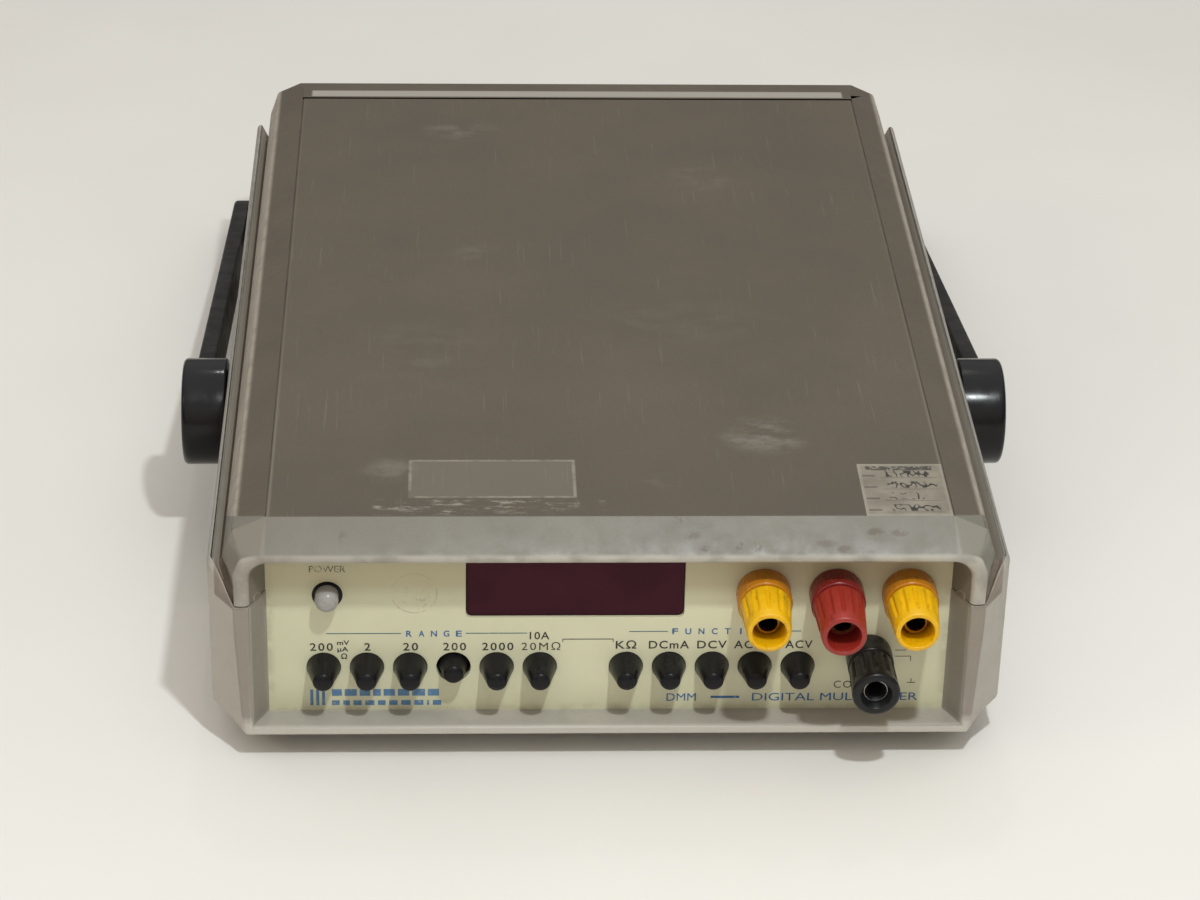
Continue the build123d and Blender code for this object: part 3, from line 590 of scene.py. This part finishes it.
def digit_finish():
    """Unlit red display segments behind the window."""
    f = Finish("display_digits", 0.3)
    f.colour(f.mix(f.noise(4.0), rgb(60, 14, 14), rgb(84, 20, 20)))
    f.rough(f.cloud(2.0, 0.24, 0.4, detail=2.0, rough=0.5))
    f.bump(f.noise(2.0), 0.01)
    return f


m_board = board_finish()
m_coil = coil_finish()
m_glass = glass_finish()
m_digits = digit_finish()


def ink_finish(name, tone, worn=0.0):
    """Screen-printed ink, thin and slightly broken."""
    f = Finish(name, 0.5)
    gone = f.ease(f.noise(0.9, 4.0, 0.7), 0.62 - worn * 0.2, 0.75 - worn * 0.2)
    tint = f.mix(f.noise(1.5, 2.0), shade(tone, 0.85), shade(tone, 1.2))
    f.colour(f.mix(f.times(gone, 0.75), tint, shade(CREAM, 0.85)))
    f.rough(f.cloud(1.2, 0.42, 0.58, detail=2.0, rough=0.5))
    f.bump(f.noise(0.5), 0.004)
    return f


m_ink = ink_finish("dark_ink", rgb(50, 47, 42), 0.1)
m_ink_worn = ink_finish("worn_dark_ink", rgb(80, 74, 60), 0.75)
m_blue = ink_finish("blue_ink", rgb(44, 96, 150), 0.15)
m_mark = ink_finish("light_blue_ink", rgb(88, 128, 166), 0.3)
m_teal = ink_finish("teal_ink", rgb(78, 112, 118), 0.15)


# -------- CAD nodes that stay
WELD = 2e-6  # vertices nearer than this, in metres, are one


def soften(name, width, rule=None, segments=3):
    """Rounds the convex edges of a CAD node with a bevel modifier, width in millimetres.
    rule gives each edge's share of the width."""
    o = nodes[name]
    me = o.data
    if "custom_normal" in me.attributes:
        me.attributes.remove(me.attributes["custom_normal"])
    bm = bmesh.new()
    bm.from_mesh(me)
    bmesh.ops.remove_doubles(bm, verts=bm.verts, dist=WELD)
    sharp = {}
    for e in bm.edges:
        if e.calc_face_angle(0) > radians(24):
            key = frozenset(tuple(round(c, 6) for c in v.co) for v in e.verts)
            sharp[key] = (rule(e) if rule else 1.0) if e.is_convex else 0.0
    bm.free()
    weight = me.attributes.new("bevel_weight_edge", "FLOAT", "EDGE")
    crisp = me.attributes.get("sharp_edge") or me.attributes.new("sharp_edge", "BOOLEAN", "EDGE")
    spots = [tuple(round(c, 6) for c in v.co) for v in me.vertices]
    weights, crisps = [], []
    for e in me.edges:
        share = sharp.get(frozenset((spots[e.vertices[0]], spots[e.vertices[1]])))
        weights.append(share or 0.0)
        crisps.append(share == 0.0)
    weight.data.foreach_set("value", weights)
    crisp.data.foreach_set("value", crisps)
    me.polygons.foreach_set("use_smooth", [True] * len(me.polygons))
    weld = o.modifiers.new("weld", "WELD")
    weld.merge_threshold = WELD
    bevel = o.modifiers.new("round", "BEVEL")
    bevel.width = width * MM
    bevel.segments = segments
    bevel.limit_method = "WEIGHT"
    bevel.harden_normals = True
    bevel.use_clamp_overlap = False


def paint(name, finish):
    """Gives a CAD node its material."""
    me = nodes[name].data
    me.materials.clear()
    me.materials.append(finish.mat)


SHORTEST = 0.6 * MM  # shorter edges stay sharp


def edge_place(e):
    """Distance from the middle plane, depth and height of an edge, in millimetres."""
    mid = (e.verts[0].co + e.verts[1].co) / 2
    return abs(mid.x) / MM, (mid.y - LIP) / MM, mid.z / MM


def case_rule(e):
    """Outer edges and the front of the lip are rounded, the inside isn't."""
    x, depth, z = edge_place(e)
    if e.calc_length() < SHORTEST:
        return 0.0
    if depth < 10.6:
        return 0.8 if depth < 0.1 and z < 46.0 else 0.0
    inside = depth < 291.9 and x < 101.7 and 7.5 < z
    return 0.0 if inside else 1.0


def roof_rule(e):
    """Shoulders are rounded fully, the edge round the top sheet only a little."""
    x, depth, z = edge_place(e)
    if e.calc_length() < SHORTEST or depth < 9.6:
        return 0.0
    if x > 97.0:
        return 1.0
    if z > 67.9 and depth < 292.0:
        return 0.25
    return 0.6 if depth > 292.9 else 0.0


soften("lower_case", 0.55, case_rule)
soften("upper_case", 0.7, roof_rule)
for name, width in (("rear_panel", 0.3), ("mains_inlet", 0.35), ("fuse_cap", 0.3),
                    ("fuse_holder", 0.25)):
    soften(name, width)
soften("front_panel", 0.12, segments=2)
soften("display_window", 0.1, segments=2)

for finish, names in (
    (m_case, "lower_case rear_panel"), (m_roof, "upper_case"), (m_top, "top_panel"),
    (m_panel, "front_panel"), (m_window, "display_window"), (m_digits, "led_digits"),
    (m_board, "main_board display_board"), (m_chip, "chips"), (m_black, "capacitors"),
    (m_core, "transformer_core"), (m_coil, "transformer_coil"), (m_glass, "fuse"),
    (m_switch, "range_switches function_switches power_switch"),
    (m_handle, "pivot_left pivot_right"), (m_inlet, "mains_inlet fuse_holder fuse_cap"),
    (m_steel, "pivot_washers pivot_screws board_screws post_nuts inlet_pins"),
):
    for name in names.split():
        paint(name, finish)


# -------- mesh helpers
def rounded(points, steps=5):
    """Open path with its corners rounded. Each point is (a, b) or (a, b, radius)."""
    path = []
    for i, p in enumerate(points):
        here = Vector(p[:2])
        radius = p[2] if len(p) > 2 else 0
        if not radius or i in (0, len(points) - 1):
            path.append(here)
            continue
        back = (Vector(points[i - 1][:2]) - here).normalized()
        ahead = (Vector(points[i + 1][:2]) - here).normalized()
        half = back.angle(ahead) / 2
        reach = radius / math.tan(half)
        middle = here + (back + ahead).normalized() * (radius / sin(half))
        a, b = here + back * reach - middle, here + ahead * reach - middle
        turn = math.atan2(a.x * b.y - a.y * b.x, a.dot(b))
        for k in range(steps + 1):
            c, s = cos(turn * k / steps), sin(turn * k / steps)
            path.append(middle + Vector((a.x * c - a.y * s, a.x * s + a.y * c)))
    return path


def lathe(bm, profile, origin, axis, segments=64, shape=None, slot=0):
    """Turns a profile of (radius, distance along the axis), in mm, round the axis.
    shape(angle, radius, distance) may change the radius."""
    axis = Vector(axis).normalized()
    side = axis.orthogonal().normalized()
    other = axis.cross(side)
    rings = []
    for r, t in profile:
        if r < 1e-6:
            rings.append([bm.verts.new(origin + axis * t * MM)])
            continue
        ring = []
        for i in range(segments):
            a = 2 * pi * i / segments
            k = shape(a, r, t) if shape else r
            out = side * cos(a) + other * sin(a)
            ring.append(bm.verts.new(origin + axis * t * MM + out * k * MM))
        rings.append(ring)
    for one, two in zip(rings, rings[1:]):
        for i in range(segments):
            j = (i + 1) % segments
            corners = [one[i % len(one)], one[j % len(one)], two[j % len(two)], two[i % len(two)]]
            corners = list(dict.fromkeys(corners))
            if len(corners) > 2:
                bm.faces.new(corners).material_index = slot


def piece(name, bm, finishes, body, stands_for=(), angle=35.0):
    """Makes an object of a bmesh, riding on a body. angle is where its shading turns sharp."""
    bmesh.ops.recalc_face_normals(bm, faces=bm.faces)
    me = bpy.data.meshes.new(name)
    bm.to_mesh(me)
    bm.free()
    me.polygons.foreach_set("use_smooth", [True] * len(me.polygons))
    me.set_sharp_from_angle(angle=radians(angle))
    for f in finishes if isinstance(finishes, (list, tuple)) else [finishes]:
        me.materials.append(f.mat)
    o = bpy.data.objects.new(name, me)
    bpy.context.scene.collection.objects.link(o)
    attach(o, body)
    if stands_for:
        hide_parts(*stands_for)
    return o


def middle_of(node):
    """Middle, lowest and highest corner of a CAD node."""
    low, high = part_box(node)
    return (low + high) / 2, low, high


def loft(bm, sections):
    """Closed solid through sections of equal point counts, each a list of points in metres."""
    rings = [[bm.verts.new(p) for p in section] for section in sections]
    count = len(rings[0])
    for one, two in zip(rings, rings[1:]):
        for i in range(count):
            j = (i + 1) % count
            bm.faces.new((one[i], one[j], two[j], two[i]))
    bm.faces.new(rings[0])
    bm.faces.new(rings[-1])


def round_rect(half_a, half_b, radius, steps=5):
    """Closed outline of a rounded rectangle round the origin."""
    points = []
    for ca, cb, start in ((1, 1, 0), (-1, 1, 90), (-1, -1, 180), (1, -1, 270)):
        for k in range(steps + 1):
            t = radians(start + 90 * k / steps)
            points.append((ca * (half_a - radius) + radius * cos(t),
                           cb * (half_b - radius) + radius * sin(t)))
    return points


# -------- visor
def arch(foot, top, corners, steps):
    """Outline from the foot of one leg over the top to the other foot. foot is its x, top its
    height, and corners are (x, z, radius)."""
    half = [tuple(p) for p in rounded([(foot, LEG_FOOT), *corners, (0, top)], steps)]
    return half + [(-x, z) for x, z in reversed(half[:-1])]


def visor():
    """Sloped band over the panel, rounded at its corners, with a leg down each side."""
    steps = 6
    nose = arch(96.9, 61.9, [(96.7, 56.4, 4.0), (95.0, 60.6, 3.0), (90.0, 61.9, 4.0)], steps)
    back = arch(97.0, ROOF, [(100.2, 56.8, 0.7), (97.5, 64.6, 0.9), (88.8, ROOF, 0.9)], steps)
    whole = 3 * (steps + 1) - 1
    mouth = arch(93.4, 60.1, [(93.4, 60.1, 5.5)], whole)
    throat = arch(89.1, 62.0, [(89.1, 62.0, 5.5)], whole)

    def mixed(a, b, k):
        return [(p[0] + (q[0] - p[0]) * k, p[1] + (q[1] - p[1]) * k) for p, q in zip(a, b)]

    sections = [  # depth and outline, from the mouth over the nose to the roof, and back inside
        (0.0, mixed(mouth, nose, 0.36)), (0.0, mixed(mouth, nose, 0.68)),
        (0.12, mixed(nose, mouth, 0.13)), (0.45, mixed(nose, back, 0.03)),
        (1.2, mixed(nose, back, 0.13)), (5.0, mixed(nose, back, 0.543)), (9.38, back),
        (9.38, throat), (4.6, mixed(mouth, throat, 0.5)), (0.9, mixed(mouth, throat, 0.09)),
        (0.3, mixed(mouth, nose, 0.02)), (0.06, mixed(mouth, nose, 0.14)),
    ]
    bm = bmesh.new()
    rings = [[bm.verts.new(at(x, d, z)) for x, z in path] for d, path in sections]
    for k, one in enumerate(rings):
        two = rings[(k + 1) % len(rings)]
        for i in range(len(one) - 1):
            bm.faces.new((one[i], one[i + 1], two[i + 1], two[i]))
    for i in (0, -1):
        bm.faces.new([ring[i] for ring in rings])
    piece("visor", bm, m_visor, "case", ["front_visor"], 40.0)


visor()


# -------- handle
def carrying_handle():
    """Two flat arms from round hubs down to a grip bar behind the case."""
    hub = middle_of("hub_cap_right")[0]
    bar_y, bar_z = LIP + 318.6 * MM, 6.6 * MM
    arm_start, arm_wide, bar_wide = 9.0, 7.8, 6.0
    slope = math.atan2(bar_z - hub.z, bar_y - hub.y)
    along = Vector((0, cos(slope), sin(slope)))
    across = Vector((0, -sin(slope), cos(slope)))
    length = (bar_y - hub.y) / cos(slope) / MM
    bm = bmesh.new()
    for side in (-1, 1):
        sections = []
        for t in (arm_start, 14.0, 40.0, 90.0, 140.0, 180.0, length - 1.5):
            k = (t - arm_start) / (length - arm_start)
            middle = Vector((side * (112.95 - 0.6 * k) * MM, hub.y, hub.z)) + along * t * MM
            wide = arm_wide + (bar_wide - arm_wide) * k
            sections.append([middle + Vector((a * MM, 0, 0)) + across * b * MM
                             for a, b in round_rect(2.55, wide, 0.8, 4)])
        loft(bm, sections)
        centre = Vector((side * 105.3 * MM, hub.y, hub.z))
        lathe(bm, rounded([(5.1, 0), (HUB_R, 0, 0.5), (HUB_R, 10.3), (9.6, 10.3), (9.6, 6.6),
                           (5.1, 6.6), (5.1, 0)], 4), centre, (side, 0, 0), 96, slot=1)
    middle = Vector((0, bar_y, bar_z))
    section = [middle + along * a * MM + across * b * MM
               for a, b in round_rect(4.8, 6.1, 2.2, 6)]
    loft(bm, [
        [middle + (p - middle) * k + Vector((x * MM, 0, 0)) for p in section]
        for x, k in ((-114.9, 0.86), (-114.5, 0.95), (-113.8, 1.0), (-60, 1.0), (0, 1.0),
                     (60, 1.0), (113.8, 1.0), (114.5, 0.95), (114.9, 0.86))
    ])
    piece("carrying_handle", bm, [m_handle, m_hub], "handle", ["handle"], 40.0)
    for side, name in ((-1, "left"), (1, "right")):
        bm = bmesh.new()
        centre = Vector((side * 115.6 * MM, hub.y, hub.z))
        lathe(bm, rounded([(0, 0), (HUB_R, 0), (HUB_R, 2.2, 1.3), (12.2, 2.2, 0.3),
                           (11.8, 1.8, 0.3), (2.4, 1.8, 0.3), (2.0, 1.3, 0.3), (0, 1.3)], 6),
              centre, (side, 0, 0), 96)
        piece(f"hub_cover_{name}", bm, m_hub, "handle", [f"hub_cap_{name}"], 40.0)


carrying_handle()


# -------- buttons
def facing(node):
    """Back middle of a round node that points forwards, its radius and its length."""
    mid, low, high = middle_of(node)
    return Vector((mid.x, high.y, mid.z)), (high.x - low.x) / 2 / MM, (high.y - low.y) / MM


def push_button(node):
    """Tapered cap with a softly rounded tip, a shoulder in the panel and a plunger behind."""
    start, base, reach = facing(node)
    plunger, tip, shoulder = 2.0, 2.7, base + 0.32
    profile = rounded([
        (0, 0), (plunger, 0, 0.3), (plunger, 20.0), (base - 0.2, 20.0, 0.3),
        (shoulder, 21.0, 0.3), (shoulder, 26.5), (tip, reach - 0.7),
    ], 6)
    for k in range(1, 11):
        a = pi / 2 * k / 10
        profile.append(Vector((tip * cos(a), reach - 0.7 + 1.5 * sin(a))))
    bm = bmesh.new()
    lathe(bm, profile, start, FRONT, 56)
    piece(node + "_cap", bm, m_black, node, [node])


def power_button():
    """Small pale cylinder with a domed tip."""
    start, _, reach = facing("power_button")
    bm = bmesh.new()
    lathe(bm, rounded([(0, 0), (3.1, 0, 0.3), (3.1, reach, 2.5), (0, reach)], 12),
          start, FRONT, 56)
    piece("power_button_cap", bm, m_power, "power_button", ["power_button"])


for name in sorted(n for n in nodes if "_button_" in n):
    push_button(name)
power_button()


# -------- binding posts
def post(name, cap_finish, collar_finish):
    """Smooth collar and a fluted cap with a plain ring round its open mouth."""
    start, r, long = facing(f"post_collar_{name}")
    bm = bmesh.new()
    lathe(bm, rounded([
        (3.25, 0.0), (r - 0.1, 0.0, 0.2), (r, 0.9, 0.8), (r, long, 0.7), (5.0, long), (3.25, long),
        (3.25, 0.0),
    ], 7), start, FRONT, 72)
    piece(f"collar_{name}", bm, collar_finish, "case", [f"post_collar_{name}"])

    start, back_r, reach = facing(f"post_cap_{name}")
    wider, longer, front_r, mouth, flare, lip_r = {
        "common": (0.1, 1.6, 6.25, 3.3, 0.9, 1.0),
        "red": (0.3, 0.0, 5.8, 4.2, 0.25, 0.75),
    }.get(name, (0.3, 0.0, 5.7, 4.2, 0.25, 0.75))
    back_r, reach = back_r + wider, reach + longer
    bore, straight, ring = 3.27, 0.45, reach - 1.4

    def flutes(angle, radius, t):
        """Twelve grooves that fade out towards both ends of the outside."""
        if radius < mouth + 0.35 or t < 0.25 or t > reach - 1.2:
            return radius
        fade = min(1.0, (t - 0.2) / 1.2) * min(1.0, max(0.0, (reach - 2.6 - t) / 2.2))
        wave = abs(((angle * 12 / (2 * pi)) % 1.0) - 0.5) * 2
        groove = max(0.0, 1.0 - wave / 0.55)
        groove = groove * groove * (3 - 2 * groove)
        return radius - 0.6 * fade * groove

    profile = [(bore, 0.05), (back_r - 0.5, 0.05), (back_r - 0.2, 0.12), (back_r, straight)]
    steps = 22
    for k in range(1, steps):
        t = straight + (ring - straight) * k / steps
        profile.append((back_r + (front_r - back_r) * t / reach, t))
    profile += rounded([
        (front_r + 0.02, ring), (front_r + 0.03, reach - 0.05, lip_r),
        (mouth + flare, reach - 0.05, 0.35), (mouth, reach - 1.7, 0.3), (mouth, reach - 8.4, 0.2),
        (bore, reach - 8.5), (bore, 0.05),
    ], 6)
    bm = bmesh.new()
    lathe(bm, profile, start, FRONT, 240, flutes)
    piece(f"cap_{name}", bm, cap_finish, f"post_cap_{name}", [f"post_cap_{name}"], 50.0)


def studs():
    """Plated threaded studs with a plug socket in each."""
    bm = bmesh.new()
    for name in ("left", "red", "right", "common"):
        # the black post's stud is longer and wider at its entry, and the inside of its socket is
        # given dark plastic as painted shade
        end, entry, outside, inside = (34.1, 2.95, 0, 2) if name == "common" else (31.4, 2.5, 1, 1)
        mid = middle_of(f"post_cap_{name}")[0]
        origin = Vector((mid.x, LIP + 24.9 * MM, mid.z))
        lathe(bm, rounded([(0, 0), (2.5, 0, 0.3), (2.5, 16.0), (3.19, 16.0), (3.19, end, 0.15),
                           (entry, end)], 4), origin, FRONT, 64, slot=outside)
        lathe(bm, [(entry, end), (2.0, end - 1.5), (2.0, end - 14.0), (0, end - 14.0)],
              origin, FRONT, 64, slot=inside)
    bmesh.ops.remove_doubles(bm, verts=bm.verts, dist=1e-6)
    piece("post_stud_set", bm, [m_plated, m_plate_painted_shade_amber, m_inlet], "case", ["post_studs"])


studs()
for name in ("left", "right"):
    post(name, m_yellow, m_orange)
post("red", m_red, m_maroon)
post("common", m_post_black, m_post_black)


# -------- printed legends
class Print:
    """Flat lettering and rules gathered into one thin mesh."""

    def __init__(self):
        self.bm = bmesh.new()

    def text(self, body, x, z, height, width, heavy=0.0, spread=1.0):
        """Text centred at x, z, with this cap height and overall width."""
        curve = bpy.data.curves.new("letters", "FONT")
        curve.body = body
        curve.resolution_u = 3
        curve.space_character = spread
        curve.offset = heavy
        letters = bpy.data.objects.new("letters", curve)
        bpy.context.scene.collection.objects.link(letters)
        bpy.context.view_layer.update()
        graph = bpy.context.evaluated_depsgraph_get()
        me = bpy.data.meshes.new_from_object(letters.evaluated_get(graph))
        bpy.data.objects.remove(letters)
        bpy.data.curves.remove(curve)
        xs = [v.co.x for v in me.vertices]
        mid, wide = (min(xs) + max(xs)) / 2, max(xs) - min(xs)
        capital = 0.682  # height of a capital at size 1
        grow = Matrix.Diagonal((width / wide * MM, height / capital * MM, 1, 1))
        turn = Matrix(((1, 0, 0, 0), (0, 0, 1, 0), (0, 1, 0, 0), (0, 0, 0, 1)))
        centre = Matrix.Translation((-mid, -capital / 2, 0))
        me.transform(Matrix.Translation(at(x, PRINT, z)) @ turn @ grow @ centre)
        self.bm.from_mesh(me)
        bpy.data.meshes.remove(me)

    def patch(self, corners):
        """Flat patch with corners in x and height."""
        self.bm.faces.new([self.bm.verts.new(at(x, PRINT, z)) for x, z in corners])

    def bar(self, x0, x1, z0, z1):
        self.patch([(x0, z0), (x1, z0), (x1, z1), (x0, z1)])

    def rule(self, x0, z0, x1, z1, thick):
        """A thin line between two points."""
        a, b = Vector((x0, z0)), Vector((x1, z1))
        side = (b - a).normalized().orthogonal() * thick / 2
        self.patch([a + side, b + side, b - side, a - side])

    def done(self, name, finish):
        """Turns the faces forwards and makes the piece."""
        for f in self.bm.faces:
            f.normal_update()
            if f.normal.y > 0:
                f.normal_flip()
        me = bpy.data.meshes.new(name)
        self.bm.to_mesh(me)
        self.bm.free()
        me.materials.append(finish.mat)
        o = bpy.data.objects.new(name, me)
        bpy.context.scene.collection.objects.link(o)
        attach(o, "case")


dark = Print()
for body, x, width in (("200", -75.1, 6.0), ("2", -63.1, 1.6), ("20", -51.8, 3.9),
                       ("200", -40.3, 6.0), ("2000", -29.0, 8.2), ("20MΩ", -17.7, 10.2)):
    dark.text(body, x, 29.5, 2.25, width, 0.0 if "M" in body else 0.014, spread=1.25)
dark.text("10A", -18.1, 32.8, 2.2, 5.2, 0.012, spread=1.1)
dark.text("mV", -69.4, 30.8, 1.35, 3.2, 0.02)
dark.text("µA", -69.5, 28.8, 1.35, 2.9, 0.02)
dark.text("Ω", -69.2, 26.6, 1.5, 1.6, 0.02)
for body, x, width in (("KΩ", 4.6, 5.4), ("DCmA", 15.9, 10.6), ("DCV", 27.2, 7.8),
                       ("ACmA", 38.3, 10.6), ("ACV", 50.1, 7.2)):
    dark.text(body, x, 29.9, 2.3, width, 0.014, spread=1.15)
dark.text("COM", 63.6, 17.4, 2.2, 7.4, spread=1.2)
for line in ((-11.95, 31.7, 1.15, 31.7, 0.24), (-12.0, 31.8, -12.0, 30.8, 0.2),
             (1.2, 31.8, 1.2, 30.8, 0.2), (75.6, 28.0, 78.6, 28.0, 0.2),
             (75.6, 26.1, 79.8, 26.1, 0.2), (79.85, 26.2, 79.85, 24.6, 0.2),
             (80.4, 19.2, 80.4, 17.9, 0.2), (79.3, 17.9, 81.5, 17.9, 0.22)):
    dark.rule(*line)
dark.done("legends_dark", m_ink)

power_shade_ring = Print()  # painted shade: a flat dark ring round the power button
for k in range(32):
    a, b = 2 * pi * k / 32, 2 * pi * (k + 1) / 32
    power_shade_ring.patch([(-73.3 + r * cos(t), 45.45 + r * sin(t))
                for r, t in ((3.0, a), (3.0, b), (4.0, b), (4.0, a))])
power_shade_ring.done("power_button_painted_shade", m_black)

worn = Print()
worn.text("POWER", -73.2, 53.2, 1.9, 9.4)
worn.done("legend_power", m_ink_worn)

blue = Print()
for i, letter in enumerate("RANGE"):
    blue.text(letter, -52.2 + i * 3.25, 33.5, 1.75, 1.55, 0.02)
for i, letter in enumerate("FUNCTION"):
    blue.text(letter, 17.4 + i * 3.45, 34.0, 1.75, 1.55 if letter != "I" else 0.4, 0.02)
blue.text("DIGITAL MULTIMETER", 60.4, 13.55, 2.35, 44.0)
blue.text("DMM", 19.6, 13.55, 2.35, 7.8)
blue.bar(27.4, 35.0, 13.2, 13.9)
blue.done("legends_blue", m_blue)

mark = Print()
for k in range(3):
    mark.bar(-78.3 + k * 1.55, -77.5 + k * 1.55, 11.4, 16.3)
for low, high, gap, widths in (
    (14.3, 16.4, 0.75, (2.6, 3.2, 2.8, 2.0, 3.0, 3.0, 3.4, 2.9)),
    (11.4, 12.9, 0.95, (2.0, 1.7, 2.2, 2.4, 2.0, 2.2, 2.5, 2.4, 0.6, 2.2)),
):
    x = -72.6
    for width in widths:
        mark.bar(x, x + width, low, high)
        x += width + gap
mark.done("maker_mark_bars", m_mark)

teal = Print()
for x0, x1, z in ((-73.8, -54.2, 33.6), (-37.4, -21.4, 33.6), (5.3, 15.5, 34.0),
                  (46.2, 50.5, 34.0)):
    teal.rule(x0, z, x1, z, 0.26)
teal.done("legend_rules", m_teal)


# -------- small case details
def slab(bm, side, outline, d0, d1):
    """A plate on one side, its outline in x and height, between two depths, in millimetres."""
    loft(bm, [[at(side * x, d, z) for x, z in outline] for d in (d0, d1)])


# dust that fills the fine seam each side of the top sheet
bm = bmesh.new()
for side in (-1, 1):
    for k in range(24):
        top = 68.36 + random.uniform(-0.06, 0.08)
        slab(bm, side, [(88.59, 67.6), (88.59, top), (88.91, top), (88.91, 67.6)],
             9.8 + k * 11.2, 9.8 + (k + 1) * 11.2)
piece("seam_dust", bm, m_dust, "case", ())

# grime packed between the side fins and the visor's legs, thinning out to the rear
bm = bmesh.new()
for side in (-1, 1):
    sections = []
    for d in (0.9, 3.0, 5.5, 8.0, 10.4, 14.0, 22.0, 34.0, 50.0):
        k = min(1.0, d / 10.5)
        fill = 0.72 if d < 10.5 else 0.72 - 0.6 * (d - 10.5) / 39.5
        z = 47.0 + 9.1 * k * fill
        leg = 96.95 + (3.3 * min(1.0, d / 9.3) - 0.25) * (z - LEG_FOOT) / 9.3
        fin = 96.0 + 2.4 * k + (0.8 + 3.5 * k) * fill
        sections.append([at(side * x, d, h) for x, h in (
            (leg - 0.1, z - 0.8), (leg - 0.1, z - 0.15), (leg + 0.15, z - 0.3),
            ((leg + fin) / 2, z - 0.12), (fin + 0.1, z + 0.1), (fin + 0.1, z - 0.8))])
    loft(bm, sections)
piece("gutter_grime", bm, m_grime, "case", ())

# feet with a screw recess
bm = bmesh.new()
for x in (-80.0, 80.0):
    for d in (24.0, 268.0):
        lathe(bm, rounded([(0, 2.4), (2.7, 2.4, 0.2), (2.9, 0.0, 0.3), (6.4, 0.0, 0.9),
                           (7.2, 4.0, 0.4), (7.4, 4.2, 0.15), (7.4, 4.98), (0, 4.98)], 5),
              at(x, d, 0), UP, 64)
piece("foot_set", bm, m_rubber, "case", ["rubber_feet"])


def cross(angle, radius, t):
    """Cross recess in the middle of a screw's head."""
    return radius * (1 + 0.5 * cos(4 * angle)) if radius < 1.6 and t < 1.6 else radius


bm = bmesh.new()
for x in (-88.6, 88.6):
    for d in (40.0, 262.0):
        head = [(0, 1.7), (0.9, 1.3), (1.25, 0.25), (1.45, 0.02)]
        shank = rounded([(1.9, 0.0), (3.38, 0.0, 0.45), (3.38, 2.18), (1.62, 2.18), (1.62, 31.9),
                         (0, 31.9)], 4)
        lathe(bm, head + shank, at(x, d, 5.3), UP, 96, cross)
piece("case_screw_set", bm, m_steel, "case", ["case_screws"])

# plates that close the case at the rear end of each side
bm = bmesh.new()
for side in (-1, 1):
    slab(bm, side, [(93.35, 7.7), (97.0, 7.7), (101.5, 13.3), (101.5, 46.9), (93.75, 46.9),
                    (93.35, 46.5)], 284.2, 286.2)
bmesh.ops.bevel(bm, geom=list(bm.edges), offset=0.25 * MM, segments=2, profile=0.5,
                affect="EDGES")
piece("rear_side_plates", bm, m_case, "case", ())


# -------- floor
bm = bmesh.new()
bmesh.ops.create_grid(bm, x_segments=8, y_segments=8, size=3.0)
me = bpy.data.meshes.new("floor")
bm.to_mesh(me)
bm.free()
floor = bpy.data.objects.new("floor", me)
bpy.context.scene.collection.objects.link(floor)
f = Finish("pale_table", 0.5)
f.colour(f.mix(f.cloud(260.0, detail=3.0, rough=0.5), rgb(226, 223, 217), rgb(231, 228, 222)))
f.rough(f.cloud(40.0, 0.5, 0.6, detail=3.0, rough=0.5))
me.materials.append(f.mat)
